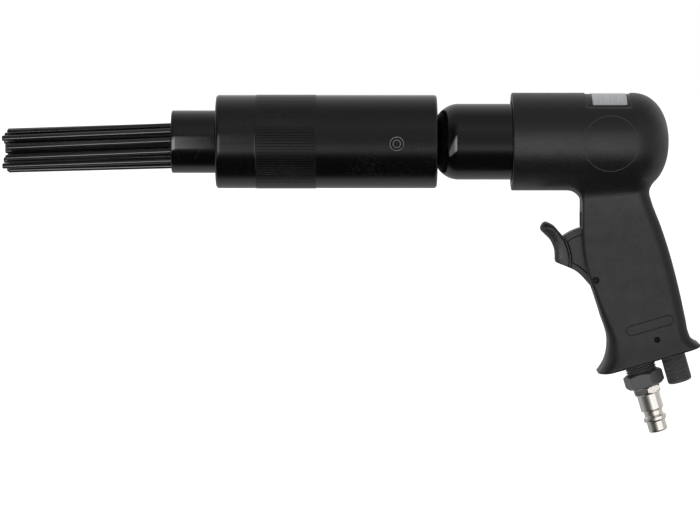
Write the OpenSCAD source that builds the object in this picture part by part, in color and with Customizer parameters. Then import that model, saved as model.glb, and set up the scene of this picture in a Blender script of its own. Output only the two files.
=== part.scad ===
// Air-driven needle scaler with a pistol grip.
// A bundle of steel needles runs out of a nose tube, a piston in the barrel
// strikes an anvil behind them, and a coil spring draws their holder back.
// Millimetres. X runs along the barrel with the needles toward -X, the grip
// hangs toward -Z, and the origin lies on the barrel axis where the straight
// wall of the nose tube begins.

/* [Needles] */
// Diameter of one needle
needle_d = 3; // [2:0.1:3.4]
// Length of one needle with its head
needle_len = 172.5; // [150:0.5:200]
// Diameter of the upset head
needle_head_d = 4.6; // [3.8:0.1:5]
// Thickness of the upset head
needle_head_len = 2.4; // [1.5:0.1:4]
// Flat bevel at the needle tip
needle_bevel = 0.3; // [0.1:0.05:0.6]
// Needles on the inner ring
inner_ring_count = 6; // [4:1:6]
// Needles on the outer ring
outer_ring_count = 12; // [8:1:12]
// Radius of the inner ring in the holder
inner_ring_r = 5.6; // [5.2:0.1:5.8]
// Radius of the outer ring in the holder
outer_ring_r = 11.6; // [10.8:0.1:11.7]
// Turn of the inner ring about the barrel axis in degrees
inner_ring_turn = 20; // [0:1:60]
// Turn of the outer ring about the barrel axis in degrees
outer_ring_turn = 7; // [0:1:30]
// Share of each ring radius that is left at the needle tips
needle_gather = 0.9; // [0.86:0.01:1]
// How far the bundle hangs at the needle tips
needle_droop = 5; // [0:0.1:5.1]
// Turn of the bundle from the holder to the tips in degrees
needle_twist_angle = 12; // [0:1:25]
// Largest difference in reach between two needles
needle_stagger = 3.2; // [0:0.1:5]

/* [Nose tube] */
// Outside diameter of the nose tube
nose_d = 33.6; // [32.5:0.1:36]
// Wall of the nose tube
nose_wall = 1.9; // [1.2:0.1:2.2]
// Length of nose tube in front of the sleeve
nose_reach = 23; // [15:0.5:35]
// Length of the flange behind the sleeve lip
nose_flange_len = 6; // [3:0.5:8]
// Length of nose tube behind the flange
nose_tail = 14; // [6:0.5:18]
// Rounding of the front edge
nose_edge = 0.8; // [0.3:0.1:0.9]
// Step from the polished nose up to its seat in the sleeve
nose_step = 0.5; // [0.4:0.1:0.8]
// Length of the relief groove in front of that seat
nose_relief = 0.6; // [0.4:0.1:1]

/* [Sleeve] */
// Outside diameter of the sleeve
sleeve_d = 50; // [49:0.5:56]
// Length of the sleeve
sleeve_len = 118.2; // [110:0.1:140]
// Bore of the sleeve
sleeve_bore = 42; // [41.5:0.1:43]
// Length of the inward lip at the front
sleeve_lip = 6; // [4:0.5:9]
// Rounding of both outer edges
sleeve_edge = 1.7; // [0.5:0.1:2]
// Distance of the ridged hand band from the sleeve front
band_start = 21.3; // [10:0.1:30]
// Length of the ridged hand band
band_len = 32.3; // [20:0.1:45]
// Ridges around the hand band
ridge_count = 106; // [60:2:140]
// Height of the ridges above the sleeve
ridge_height = 0.3; // [0.1:0.05:0.5]
// Diameter of the locking screw in the sleeve wall
set_screw_d = 6.4; // [4:0.1:8]
// Length of the locking screw
set_screw_len = 5.4; // [4.6:0.1:6]
// Distance of the locking screw from the sleeve rear
set_screw_back = 21.8; // [14:0.1:28]
// Width across flats of its hexagon socket
set_screw_key = 3; // [2:0.5:4]

/* [Needle drive] */
// Plate of the needle holder that the needles pass through
holder_plate = 7; // [5:0.5:9]
// Skirt of the holder behind the plate
holder_skirt = 16; // [14:0.5:20]
// Wall of the holder skirt
holder_wall = 4.6; // [3:0.1:5]
// Flange of the anvil
anvil_flange = 8; // [5:0.5:10]
// Hub diameter of the anvil
anvil_hub_d = 24; // [18:0.5:25]
// Shank diameter of the anvil
anvil_shank_d = 10.2; // [8:0.1:12]
// Length of the rubber buffer ring
buffer_len = 4.5; // [3:0.5:7]
// Wire diameter of the holder spring
holder_wire = 3; // [2:0.1:3.2]
// Turns of the holder spring
holder_turns = 6; // [4:1:7]
// Working stroke of the holder
holder_stroke = 8; // [4:0.5:9]
// Length of the threaded adaptor behind the anvil
adaptor_len = 33; // [30:0.5:38]
// Distance of the adaptor from the sleeve rear
adaptor_recess = 1; // [0.5:0.1:2]

/* [Barrel] */
// Outside diameter of the barrel
barrel_d = 40.8; // [38:0.2:42]
// Diameter of the threaded neck
neck_d = 27; // [26:0.2:31]
// Length of the rounded shoulder behind the neck
shoulder_len = 11.6; // [6:0.1:14]
// Length of barrel between the sleeve and the housing
barrel_reach = 39.9; // [30:0.1:60]
// Cylinder bore
cylinder_bore = 19; // [16:0.1:21]
// Length of the piston
piston_len = 34; // [25:0.5:40]
// Exhaust holes around the barrel
exhaust_count = 6; // [3:1:8]
// Diameter of one exhaust hole
exhaust_d = 4; // [2:0.1:6]

/* [Housing] */
// Outside diameter of the housing around the barrel
housing_d = 52.4; // [50:0.2:60]
// Length of the housing with its rounded back
housing_len = 84.2; // [82:0.1:100]
// Length of the rounded back
housing_dome = 20; // [16:0.5:26]
// Fullness of the rounded back
dome_power = 2.2; // [2:0.1:3]
// Rounding of the front edge
housing_edge = 0.8; // [0.3:0.1:1.5]
// Depth of the open exhaust ring at the front
exhaust_depth = 17; // [10:0.5:24]
// Width of the open exhaust ring
exhaust_gap = 1.6; // [1:0.1:2.5]
// Length of barrel held inside the housing
barrel_seat = 45.8; // [40:0.1:50]
// Diameter of the valve chest
chest_d = 38; // [34:0.2:39]
// Length of the front valve case
front_case_len = 5.5; // [4:0.1:7]
// Length of the rear valve case
rear_case_len = 8.5; // [7:0.1:10]
// Length of the rubber cushion behind the valve cases
cushion_len = 3.5; // [2:0.1:4.5]
// Length of the blank plate on top
plate_len = 19.3; // [10:0.1:24]
// Half width of the blank plate in degrees around the housing
plate_half_angle = 38.5; // [20:0.5:50]
// Thickness of the blank plate
plate_thick = 0.3; // [0.2:0.05:0.5]
// Margin of the recess around the blank plate
plate_margin = 2.4; // [1:0.1:4]
// Depth of that recess
plate_recess = 0.6; // [0.4:0.05:0.8]
// Distance of the recess from the housing front
plate_start = 39.1; // [30:0.1:45]

/* [Grip] */
// Slope of the grip in degrees
grip_slope = 16.3; // [8:0.1:22]
// Depth of the grip from front to back
grip_depth = 44; // [41:0.5:50]
// Width of the grip from side to side
grip_width = 28; // [25:0.5:36]
// Fullness of the front corners
front_power = 8; // [3:0.5:10]
// Fullness of the back corners
back_power = 4; // [2:0.5:8]
// Distance of the trigger pin from the housing front
pin_setback = 44.8; // [42:0.1:50]
// Distance of the trigger pin below the housing
pin_drop = 47.3; // [45:0.1:52]
// Distance of the trigger pin from the grip front
pin_inset = 2.4; // [2.2:0.1:4]
// Length of grip below the trigger pin
grip_below = 50.5; // [48:0.1:65]
// Length of the flare at the foot
flare_len = 16; // [10:0.5:20]
// Reach of the flare at the front
flare_front = 11.2; // [4:0.1:14]
// Reach of the flare at the back
flare_back = 3; // [1:0.1:6]
// Reach of the flare at each side
flare_side = 2.2; // [0.5:0.1:4]

/* [Trigger] */
// Diameter of the trigger pin
trigger_pin_d = 3; // [2:0.1:4]
// Width of the trigger web in the slot
web_w = 10.4; // [8:0.1:11]
// Radius of the rounded web top about the pin
web_r = 28.5; // [26:0.5:32]
// Thickness of the web behind the pin
web_back = 6; // [4:0.1:7]
// Depth of the hollow in each side of the web
web_hollow = 1; // [0.4:0.1:2]
// Width of the finger blade
blade_w = 14; // [11.6:0.1:18]
// Side clearance of the web in its slot
slot_gap = 0.5; // [0.3:0.05:1]
// Depth of the slot behind the pin
slot_depth = 14.5; // [13.5:0.1:16]
// Reach of the slot above the pin
slot_above = 36; // [33:0.5:38]
// Reach of the slot below the pin
slot_below = 5.5; // [5:0.1:8]
// Height of the throttle valve above the pin
throttle_rise = 17; // [14:0.5:20]
// Stem diameter of the throttle valve
throttle_stem_d = 4.8; // [3:0.1:5]
// Head diameter of the throttle valve
throttle_head_d = 9.2; // [7:0.1:9.6]
// Bore for the throttle valve in the grip
throttle_bore = 11; // [10:0.1:11.3]
// Gap between the web and the throttle stem
throttle_gap = 0.3; // [0.2:0.05:0.6]

/* [Air fittings] */
// Distance of the air inlet behind the trigger pin
inlet_back = 10.8; // [10:0.1:12]
// Thread diameter of the inlet bush
inlet_d = 16.66; // [13:0.02:17]
// Thread pitch of the inlet bush
inlet_pitch = 1.34; // [0.9:0.01:2]
// Length of inlet bush inside the grip
inlet_depth = 14; // [10:0.5:16]
// Length of bare thread below the foot
inlet_neck = 5.3; // [2:0.1:8]
// Width across flats of the inlet bush
inlet_key = 19; // [18:0.5:22]
// Height of its hexagon
inlet_hex = 8; // [4:0.1:10]
// Thread diameter of the quick plug
plug_thread_d = 11.8; // [9:0.1:12]
// Length of the plug thread
plug_thread_len = 8; // [6:0.5:9]
// Width across flats of the quick plug
plug_key = 14; // [13:0.5:17]
// Height of the plug hexagon
plug_hex = 4.4; // [3:0.1:7]
// Diameter of the plug body and collar
plug_body_d = 12.2; // [11.5:0.1:13]
// Length of the plug body
plug_body = 9.1; // [7:0.1:12]
// Length of the catch groove
plug_groove = 3.6; // [3:0.1:6]
// Length of the catch collar
plug_collar = 2; // [1.5:0.1:3]
// Length of the plug nose
plug_nose = 6.4; // [5:0.1:9]
// Diameter of the groove and the nose
plug_nose_d = 10; // [9:0.1:11]
// Bore through the plug
plug_bore = 7.2; // [5:0.1:8]
// Distance of the regulator behind the inlet
regulator_back = 18.5; // [17.5:0.1:19]
// Diameter of the regulator stem
regulator_d = 12.4; // [10:0.1:12.6]
// Diameter of the regulator knob
knob_d = 13.2; // [12.4:0.1:14]
// Length of the regulator knob below the foot
knob_len = 15.8; // [10:0.1:20]
// Length of regulator stem in the grip
regulator_depth = 23.6; // [20:0.1:26]
// Height of the cross pin above the foot
cross_pin_rise = 10.8; // [9:0.1:13]
// Distance of the cross pin from the regulator axis
cross_pin_off = 6.6; // [5.8:0.1:6.8]
// Diameter of the cross pin
cross_pin_d = 2.5; // [2:0.1:3]

/* [Fits] */
// Gap on the radius between two fixed round parts
fixed_gap = 0.05; // [0.03:0.01:0.1]
// Gap on the radius between two sliding round parts
slide_gap = 0.1; // [0.05:0.01:0.2]
// Gap on the radius of the holder in the sleeve
holder_gap = 0.3; // [0.2:0.05:0.5]
// Gap on the radius of a needle in its hole
needle_gap = 0.35; // [0.3:0.05:0.5]

/* [Hidden] */
$fn = 64;
// overlap that makes a cutter pass through a face
past = 1;

needle_count = 1 + inner_ring_count + outer_ring_count;
function needle_name(i) = str("needle_", i < 9 ? "0" : "", i + 1);

black_steel = [0.12, 0.12, 0.13];
bright_steel = [0.72, 0.73, 0.75];
cast_black = [0.16, 0.16, 0.17];
rubber_black = [0.08, 0.08, 0.08];
brass = [0.72, 0.58, 0.28];
needle_grey = [0.22, 0.22, 0.23];

// places along the barrel axis, from the front to the back
sleeve_x = nose_reach;
sleeve_end = sleeve_x + sleeve_len;
flange_x = sleeve_x + sleeve_lip;
spring_x = flange_x + nose_flange_len;
adaptor_x = sleeve_end - adaptor_recess - adaptor_len;
buffer_x = adaptor_x - buffer_len;
anvil_x = buffer_x - anvil_flange;
holder_x = anvil_x - holder_skirt - holder_plate;
plate_mid = holder_x + holder_plate / 2;
neck_x = adaptor_x + 3;
barrel_x = sleeve_end + shoulder_len;
cylinder_x = sleeve_end + 7;
housing_x = sleeve_end + barrel_reach;
seat_x = housing_x + exhaust_depth;
chest_x = housing_x + barrel_seat;
rear_case_x = chest_x + front_case_len;
cushion_x = rear_case_x + rear_case_len;
chest_end = cushion_x + cushion_len + 0.5;
housing_end = housing_x + housing_len;
dome_x = housing_end - housing_dome;
anvil_end = cylinder_x + 2.5;
piston_end = chest_x - 3;

// radii
nose_r = nose_d / 2;
nose_seat_r = nose_r + nose_step;
sleeve_r = sleeve_d / 2;
bore_r = sleeve_bore / 2;
holder_r = bore_r - holder_gap;
barrel_r = barrel_d / 2;
neck_r = neck_d / 2;
housing_r = housing_d / 2;
seat_r = barrel_r + 0.6;
chest_r = chest_d / 2;
case_r = chest_r - slide_gap;
cylinder_r = cylinder_bore / 2;

// the trigger pin carries the frame that the grip is built in
pin_x = housing_x + pin_setback;
pin_z = -housing_r - pin_drop;

// the regulator and the inlet, measured from the trigger pin along the foot
regulator_s = inlet_back + regulator_back;
inlet_r = inlet_d / 2;
regulator_r = regulator_d / 2;
regulator_hole = regulator_r + slide_gap;
nut_low = -inlet_neck - inlet_hex;

// throttle valve places, measured back from the trigger pin
throttle_tip = web_back + throttle_gap;
bush_s = slot_depth;
bush_len = 7.5;
seal_section = 1.5;
head_s = bush_s + bush_len + seal_section + 0.2;
head_len = 3.3;
throttle_end = 36.5;

function arc(cr, cx, r, from, to, steps) =
    [for (k = [0:steps]) let (a = from + (to - from) * k / steps) [cr + r * cos(a), cx + r * sin(a)]];

// turns a list of [radius, place] points about the X axis
module lathe_x(points) {
    rotate([0, 90, 0]) rotate_extrude() polygon(points);
}

module rod_x(x, length, r) {
    translate([x, 0, 0]) rotate([0, 90, 0]) cylinder(h = length, r = r);
}

// a flat shape in the YZ plane made thick along X
module plate_x(x, length) {
    translate([x, 0, 0]) rotate([90, 0, 90]) linear_extrude(length) children();
}

// a flat shape in the XZ plane made thick evenly to both sides
module plate_y(width) {
    rotate([90, 0, 0]) linear_extrude(width, center = true) children();
}

// local X runs back across the grip and local Z up along it, from the trigger pin
module grip_frame() {
    translate([pin_x, 0, pin_z]) rotate([0, -grip_slope, 0]) children();
}

// local Z runs up from the foot of the grip, at a distance behind the trigger pin
module foot_frame(s) {
    grip_frame() translate([s, 0, -grip_below]) children();
}

// local Z runs back along the throttle valve, from below the trigger web
module throttle_frame() {
    grip_frame() translate([0, 0, throttle_rise]) rotate([0, 90, 0]) children();
}

// a straight hole in the grip frame between two [back, up] places
module grip_hole(a, b, r) {
    d = b - a;
    translate([a[0], 0, a[1]]) rotate([0, atan2(d[0], d[1]), 0]) cylinder(h = norm(d), r = r);
}

// an open coil along Z with flat cut ends
module coil(mean_r, wire_r, turns, length, sides = 8, steps = 16) {
    rise = length - 2 * wire_r;
    count = turns * steps;
    lean = atan2(rise, 360 * turns * mean_r * PI / 180);
    rings = [
        for (k = [0:count])
            let (a = 360 * k / steps)
            [
                for (j = [0:sides - 1])
                    let (b = 360 * j / sides, out = mean_r + wire_r * cos(b), up = wire_r * sin(b))
                    [
                        out * cos(a) + up * sin(lean) * sin(a),
                        out * sin(a) - up * sin(lean) * cos(a),
                        wire_r + rise * k / count + up * cos(lean)
                    ]
            ]
    ];
    skin(rings);
}

// closed solid through a row of rings that all have the same number of points
module skin(rings) {
    n = len(rings[0]);
    last = len(rings) - 1;
    points = [for (ring = rings, p = ring) p];
    sides = [
        for (k = [0:last - 1], j = [0:n - 1])
            let (a = k * n + j, b = k * n + (j + 1) % n)
            each [[a, a + n, b], [b, a + n, b + n]]
    ];
    front = [[for (j = [0:n - 1]) j]];
    back = [[for (j = [0:n - 1]) last * n + n - 1 - j]];
    polyhedron(points, concat(sides, front, back));
}

// Needles

function ring_of(i) = i == 0 ? 0 : i <= inner_ring_count ? inner_ring_r : outer_ring_r;
function turn_of(i) =
    i == 0 ? 0
    : i <= inner_ring_count ? inner_ring_turn + 360 * (i - 1) / inner_ring_count
    : outer_ring_turn + 360 * (i - 1 - inner_ring_count) / outer_ring_count;
// how far each head stands off the holder plate, uneven from one needle to the next
function stand_of(i) = needle_stagger * (0.5 + 0.5 * sin(125 * i + 340));
function hole_of(i) = ring_of(i) * [0, cos(turn_of(i)), sin(turn_of(i))];
function tip_of(i) =
    let (a = turn_of(i) + needle_twist_angle, r = needle_gather * ring_of(i))
    [-needle_len, r * cos(a), r * sin(a) - needle_droop];
function way_of(i) = let (d = tip_of(i) - hole_of(i)) d / norm(d);

module needle(i) {
    way = way_of(i);
    head = holder_plate / 2 + 0.2 + stand_of(i) + needle_head_len;
    r = needle_d / 2;
    color(needle_grey)
    translate([plate_mid, 0, 0] + hole_of(i) - way * head)
    rotate([0, acos(way[2]), atan2(way[1], way[0])])
    rotate_extrude($fn = 24)
    polygon([
        [0, 0],
        [needle_head_d / 2, 0],
        [needle_head_d / 2, needle_head_len],
        [r, needle_head_len],
        [r, needle_len - needle_bevel],
        [r - needle_bevel, needle_len],
        [0, needle_len]
    ]);
}

// Attachment

module nose_tube() {
    bore = nose_r - nose_wall;
    relief_x = sleeve_x - nose_relief / 2;
    tail_x = spring_x + nose_tail;
    tail_r = nose_r - 0.8 * nose_step;
    color(black_steel)
    lathe_x(concat(
        [[bore, -nose_edge]],
        arc(nose_r - nose_edge, 0, nose_edge, -90, 0, 5),
        [
            [nose_r, relief_x],
            [tail_r, relief_x],
            [tail_r, relief_x + nose_relief],
            [nose_seat_r, relief_x + nose_relief],
            [nose_seat_r, flange_x],
            [bore_r - slide_gap, flange_x],
            [bore_r - slide_gap, spring_x],
            [tail_r, spring_x],
            [tail_r, tail_x],
            [bore, tail_x]
        ]
    ));
}

module sleeve() {
    lip_r = nose_seat_r + fixed_gap;
    color(black_steel)
    difference() {
        union() {
            lathe_x(concat(
                [[lip_r, sleeve_x]],
                arc(sleeve_r - sleeve_edge, sleeve_x + sleeve_edge, sleeve_edge, -90, 0, 6),
                arc(sleeve_r - sleeve_edge, sleeve_end - sleeve_edge, sleeve_edge, 0, 90, 6),
                [[bore_r, sleeve_end], [bore_r, flange_x], [lip_r, flange_x]]
            ));
            plate_x(sleeve_x + band_start, band_len) ridge_ring();
        }
        set_screw_place() cylinder(h = sleeve_r, r = set_screw_d / 2 + fixed_gap);
    }
}

module ridge_ring() {
    half = 360 / ridge_count / 2;
    difference() {
        polygon([
            for (k = [0:2 * ridge_count - 1])
                let (r = sleeve_r + ridge_height * (k % 2 == 0 ? 1 : 0.1))
                [r * cos(k * half), r * sin(k * half)]
        ]);
        circle(r = (bore_r + sleeve_r) / 2);
    }
}

// local Z runs inward through the sleeve wall, from just under its surface
module set_screw_place() {
    translate([sleeve_end - set_screw_back, 0, 0])
    rotate([-90, 0, 0])
    translate([0, 0, -sleeve_r - past])
    children();
}

module sleeve_set_screw() {
    color(black_steel)
    set_screw_place()
    translate([0, 0, past + 0.4])
    difference() {
        cylinder(h = set_screw_len, r = set_screw_d / 2);
        translate([0, 0, -past]) cylinder(h = past + 2.6, d = set_screw_key / cos(30), $fn = 6);
    }
}

module needle_holder() {
    skirt_r = holder_r - holder_wall;
    hole_r = needle_d / 2 + needle_gap;
    skirt_x = holder_x + holder_plate;
    color(bright_steel)
    difference() {
        rod_x(holder_x, anvil_x - holder_x, holder_r);
        rod_x(skirt_x, holder_skirt + past, skirt_r);
        for (i = [0:needle_count - 1])
            translate(hole_of(i)) rod_x(holder_x - past, holder_plate + 2 * past, hole_r);
    }
}

module holder_spring() {
    mean_r = (nose_r + bore_r) / 2;
    length = holder_x - spring_x;
    color(bright_steel)
    translate([spring_x + 0.1, 0, 0])
    rotate([0, 90, 0])
    coil(mean_r, holder_wire / 2, holder_turns, length - 0.2);
}

module anvil() {
    hub_end = adaptor_x + 1.5;
    shank_r = anvil_shank_d / 2;
    color(bright_steel)
    lathe_x([
        [0, anvil_x],
        [holder_r, anvil_x],
        [holder_r, buffer_x],
        [anvil_hub_d / 2, buffer_x],
        [anvil_hub_d / 2, hub_end],
        [shank_r, hub_end],
        [shank_r, anvil_end - 0.8],
        [shank_r - 0.8, anvil_end],
        [0, anvil_end]
    ]);
}

module anvil_buffer() {
    color(rubber_black)
    difference() {
        rod_x(buffer_x, buffer_len, bore_r - 1.5);
        rod_x(buffer_x - past, buffer_len + 2 * past, anvil_hub_d / 2 + 0.4);
    }
}

module barrel_adaptor() {
    outer_r = bore_r - fixed_gap;
    color(black_steel)
    difference() {
        rod_x(adaptor_x, adaptor_len, outer_r);
        rod_x(adaptor_x - past, adaptor_len + 2 * past, anvil_hub_d / 2 + 0.6);
        rod_x(neck_x, adaptor_len, neck_r + fixed_gap);
        set_screw_place() cylinder(h = past + set_screw_len + 0.5, r = set_screw_d / 2 + fixed_gap);
    }
}

// Barrel and motor

module barrel() {
    // the shoulder is an arc from the neck at the sleeve end to the full barrel
    rise = barrel_r - neck_r;
    bend = (shoulder_len * shoulder_len + rise * rise) / (2 * rise);
    swing = atan2(shoulder_len, bend - rise);
    groove_x = seat_x + 4;
    hole_x = housing_x + exhaust_depth - 5;
    flange_r = seat_r - fixed_gap;
    color(black_steel)
    difference() {
        lathe_x(concat(
            [[anvil_shank_d / 2 + slide_gap, neck_x], [neck_r, neck_x]],
            arc(barrel_r - bend, barrel_x, bend, -swing, 0, 10),
            [
                [barrel_r, seat_x],
                [flange_r, seat_x],
                [flange_r, groove_x],
                [flange_r - 2, groove_x],
                [flange_r - 2, groove_x + 2.4],
                [flange_r, groove_x + 2.4],
                [flange_r, chest_x],
                [cylinder_r, chest_x],
                [cylinder_r, cylinder_x],
                [anvil_shank_d / 2 + slide_gap, cylinder_x]
            ]
        ));
        for (k = [0:exhaust_count - 1])
            rotate([360 * k / exhaust_count, 0, 0])
            translate([hole_x, 0, 0])
            cylinder(h = barrel_r + past, d = exhaust_d);
        dowel_place() cylinder(h = dowel_len, r = dowel_r + fixed_gap, center = true);
    }
}

module barrel_o_ring() {
    section = 0.95;
    color(rubber_black)
    translate([seat_x + 5.2, 0, 0])
    rotate([0, 90, 0])
    rotate_extrude()
    translate([seat_r - fixed_gap - section, 0])
    circle(r = section, $fn = 20);
}

module piston() {
    r = cylinder_r - slide_gap;
    x = piston_end - piston_len;
    groove = 0.4;
    color(bright_steel)
    lathe_x([
        [0, x],
        [r - 1, x],
        [r, x + 1],
        [r, x + 6],
        [r - groove, x + 6],
        [r - groove, piston_end - 6],
        [r, piston_end - 6],
        [r, piston_end - 1],
        [r - 1, piston_end],
        [0, piston_end]
    ]);
}

dowel_r = 1.5;
dowel_len = 14;

module dowel_place() {
    translate([chest_x, 0, (cylinder_r + chest_r) / 2]) rotate([0, 90, 0]) children();
}

disc_r = 8.6;
disc_thick = 1.6;
disc_play = 1.4;
pocket_len = disc_thick + disc_play + 0.2;

module valve_case_front() {
    color(bright_steel)
    difference() {
        rod_x(chest_x, front_case_len, case_r);
        rod_x(chest_x - past, front_case_len + 2 * past, 4);
        dowel_place() cylinder(h = dowel_len, r = dowel_r + fixed_gap, center = true);
    }
}

module valve_disc() {
    color(bright_steel)
    rod_x(rear_case_x + pocket_len - 0.1 - disc_thick, disc_thick, disc_r);
}

module valve_case_rear() {
    ports = 4;
    port_ring = (disc_r + case_r) / 2;
    color(bright_steel)
    difference() {
        rod_x(rear_case_x, rear_case_len, case_r);
        rod_x(rear_case_x - past, past + pocket_len, disc_r + 0.3);
        rod_x(rear_case_x, rear_case_len + past, 5);
        for (k = [0:ports - 1])
            rotate([45 + 360 * k / ports, 0, 0])
            translate([0, 0, port_ring])
            rod_x(rear_case_x - past, rear_case_len + 2 * past, 1.8);
        dowel_place() cylinder(h = dowel_len, r = dowel_r + fixed_gap, center = true);
    }
}

module valve_dowel() {
    color(bright_steel)
    dowel_place()
    cylinder(h = dowel_len - 1, r = dowel_r, center = true);
}

module rear_cushion() {
    color(rubber_black)
    difference() {
        rod_x(cushion_x, cushion_len, case_r - 0.3);
        rod_x(cushion_x - past, cushion_len + 2 * past, 11);
    }
}

// Housing and grip

// rows of [height above the trigger pin, front, back, side], each measured as an
// offset from the plain front line, back line and half width of the grip
root_z = pin_drop / cos(grip_slope);
grip_rows = [
    [root_z + 3.6, -7, -1, -0.8],
    [root_z + 0.6, 0.6, -1, -1.2],
    [root_z - 3.4, 5.6, -1, -1.3],
    [root_z - 8, 6.6, -1, -1.2],
    [root_z - 19, 3.5, -1, -0.9],
    [18, 0.8, 0.1, -0.5],
    [5, -0.6, 0.6, -0.1],
    [-8, 0, 0.5, 0],
    [-20, 0.3, 0, 0.1],
    [flare_len - grip_below, -0.2, -1, 0.3],
    [0.6 * flare_len - grip_below, -0.28 * flare_front, -1.5, 0.2 * flare_side + 0.3],
    [0.35 * flare_len - grip_below, -0.54 * flare_front, -0.8, 0.5 * flare_side + 0.3],
    [0.15 * flare_len - grip_below, -0.84 * flare_front, 0.5 * flare_back, 0.9 * flare_side],
    [0.07 * flare_len - grip_below, -flare_front, flare_back, flare_side],
    [-grip_below, 1 - flare_front, flare_back - 1, flare_side - 0.6]
];
row_last = len(grip_rows) - 1;

function row_above(h) =
    max([for (i = [0:row_last - 1]) grip_rows[i][0] >= h - 0.0001 ? i : 0]);
function row_slope(i, c) =
    let (a = grip_rows[max(i - 1, 0)], b = grip_rows[min(i + 1, row_last)])
    (b[c] - a[c]) / (b[0] - a[0]);
// smooth curve through column c of the rows at height h
function row_value(c, h) =
    let (
        i = row_above(h),
        a = grip_rows[i],
        b = grip_rows[i + 1],
        d = b[0] - a[0],
        t = (h - a[0]) / d,
        u = 1 - t
    )
    a[c] * u * u * (1 + 2 * t) + b[c] * t * t * (3 - 2 * t)
    + d * t * u * (u * row_slope(i, c) - t * row_slope(i + 1, c));
function front_at(h) = -pin_inset + row_value(1, h);
function back_at(h) = grip_depth - pin_inset + row_value(2, h);
function side_at(h) = grip_width / 2 + row_value(3, h);
function power_at(c) = c < 0 ? front_power : back_power;
function signed_power(v, p) = sign(v) * pow(abs(v), p);

grip_sides = 32;
// one rounded section of the grip at height h
function grip_ring(h) =
    let (f = front_at(h), b = back_at(h), w = side_at(h))
    [
        for (j = [0:grip_sides - 1])
            let (a = 360 * j / grip_sides, p = 2 / power_at(cos(a)))
            [
                (f + b) / 2 + (b - f) / 2 * signed_power(cos(a), p),
                w * signed_power(sin(a), p),
                h
            ]
    ];
// half width of the grip surface at a place behind the trigger pin
function grip_half(s, h) =
    let (
        f = front_at(h),
        b = back_at(h),
        v = (2 * s - f - b) / (b - f),
        p = power_at(v)
    )
    side_at(h) * pow(1 - pow(abs(v), p), 1 / p);

module grip_solid() {
    heights = [
        for (i = [row_last - 1:-1:0], t = [0.5, 0])
            grip_rows[i][0] + t * (grip_rows[i + 1][0] - grip_rows[i][0])
    ];
    grip_frame() skin([for (h = concat([-grip_below], heights)) grip_ring(h)]);
}

module housing_body() {
    steps = 14;
    lathe_x(concat(
        [[0, housing_x]],
        arc(housing_r - housing_edge, housing_x + housing_edge, housing_edge, -90, 0, 4),
        [
            for (k = [0:steps])
                let (a = 90 * k / steps)
                [
                    housing_r * pow(cos(a), 2 / dome_power),
                    dome_x + housing_dome * pow(sin(a), 2 / dome_power)
                ]
        ]
    ));
}

// the part of a ring around the housing that lies within an angle of the top
module top_sector(x, length, low_r, high_r, half_angle) {
    reach = high_r + 5;
    intersection() {
        difference() {
            rod_x(x, length, high_r);
            rod_x(x - past, length + 2 * past, low_r);
        }
        plate_x(x - past, length + 2 * past)
            polygon([
                [0, 0],
                [reach * tan(half_angle), reach],
                [-reach * tan(half_angle), reach]
            ]);
    }
}

module slot_cutter() {
    width = web_w + 2 * slot_gap;
    translate([-web_r, -width / 2, -slot_below])
        cube([web_r + slot_depth, width, slot_above + slot_below]);
}

module handle_housing() {
    margin_angle = plate_margin / housing_r * 180 / PI;
    strainer_top = inlet_depth + 11;
    regulator_top = regulator_depth + 1.5;
    cross_z = 20 - grip_below;
    chest_mouth = [inlet_back + 17.8, root_z + 1.3];
    color(cast_black)
    difference() {
        union() {
            housing_body();
            grip_solid();
        }
        rod_x(housing_x - past, exhaust_depth + past, barrel_r + exhaust_gap);
        rod_x(seat_x - past, chest_x - seat_x + past, seat_r);
        rod_x(chest_x - past, chest_end - chest_x + past, chest_r);
        top_sector(
            housing_x + plate_start,
            plate_len + 2 * plate_margin,
            housing_r - plate_recess,
            housing_r + past,
            plate_half_angle + margin_angle
        );
        grip_frame() {
            slot_cutter();
            rotate([90, 0, 0])
                cylinder(h = 2 * grip_width, r = trigger_pin_d / 2 + fixed_gap, center = true);
            // supply from the regulator to the throttle, then on to the valve chest
            grip_hole([regulator_s, regulator_top - grip_below - 2], [throttle_end - 5.5, throttle_rise], 3);
            grip_hole([bush_s + 4.5, throttle_rise], chest_mouth, 3);
            grip_hole([inlet_back, cross_z], [regulator_s, cross_z], 3);
            translate([regulator_s - cross_pin_off, 0, cross_pin_rise - grip_below])
                rotate([90, 0, 0])
                cylinder(h = 2 * grip_width, r = cross_pin_d / 2 + fixed_gap, center = true);
        }
        throttle_frame()
            translate([0, 0, slot_depth - past])
            cylinder(h = throttle_end - slot_depth + past, r = throttle_bore / 2 + fixed_gap);
        foot_frame(inlet_back) {
            translate([0, 0, -past]) cylinder(h = inlet_depth + past, r = inlet_r + fixed_gap);
            translate([0, 0, -past]) cylinder(h = strainer_top + past, r = 6.5);
        }
        foot_frame(regulator_s)
            translate([0, 0, -past])
            cylinder(h = regulator_top + past, r = regulator_hole);
    }
}

module top_plate() {
    floor_r = housing_r - plate_recess;
    color(bright_steel)
    top_sector(
        housing_x + plate_start + plate_margin,
        plate_len,
        floor_r + 0.02,
        floor_r + plate_thick,
        plate_half_angle
    );
}

// Trigger and throttle

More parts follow.
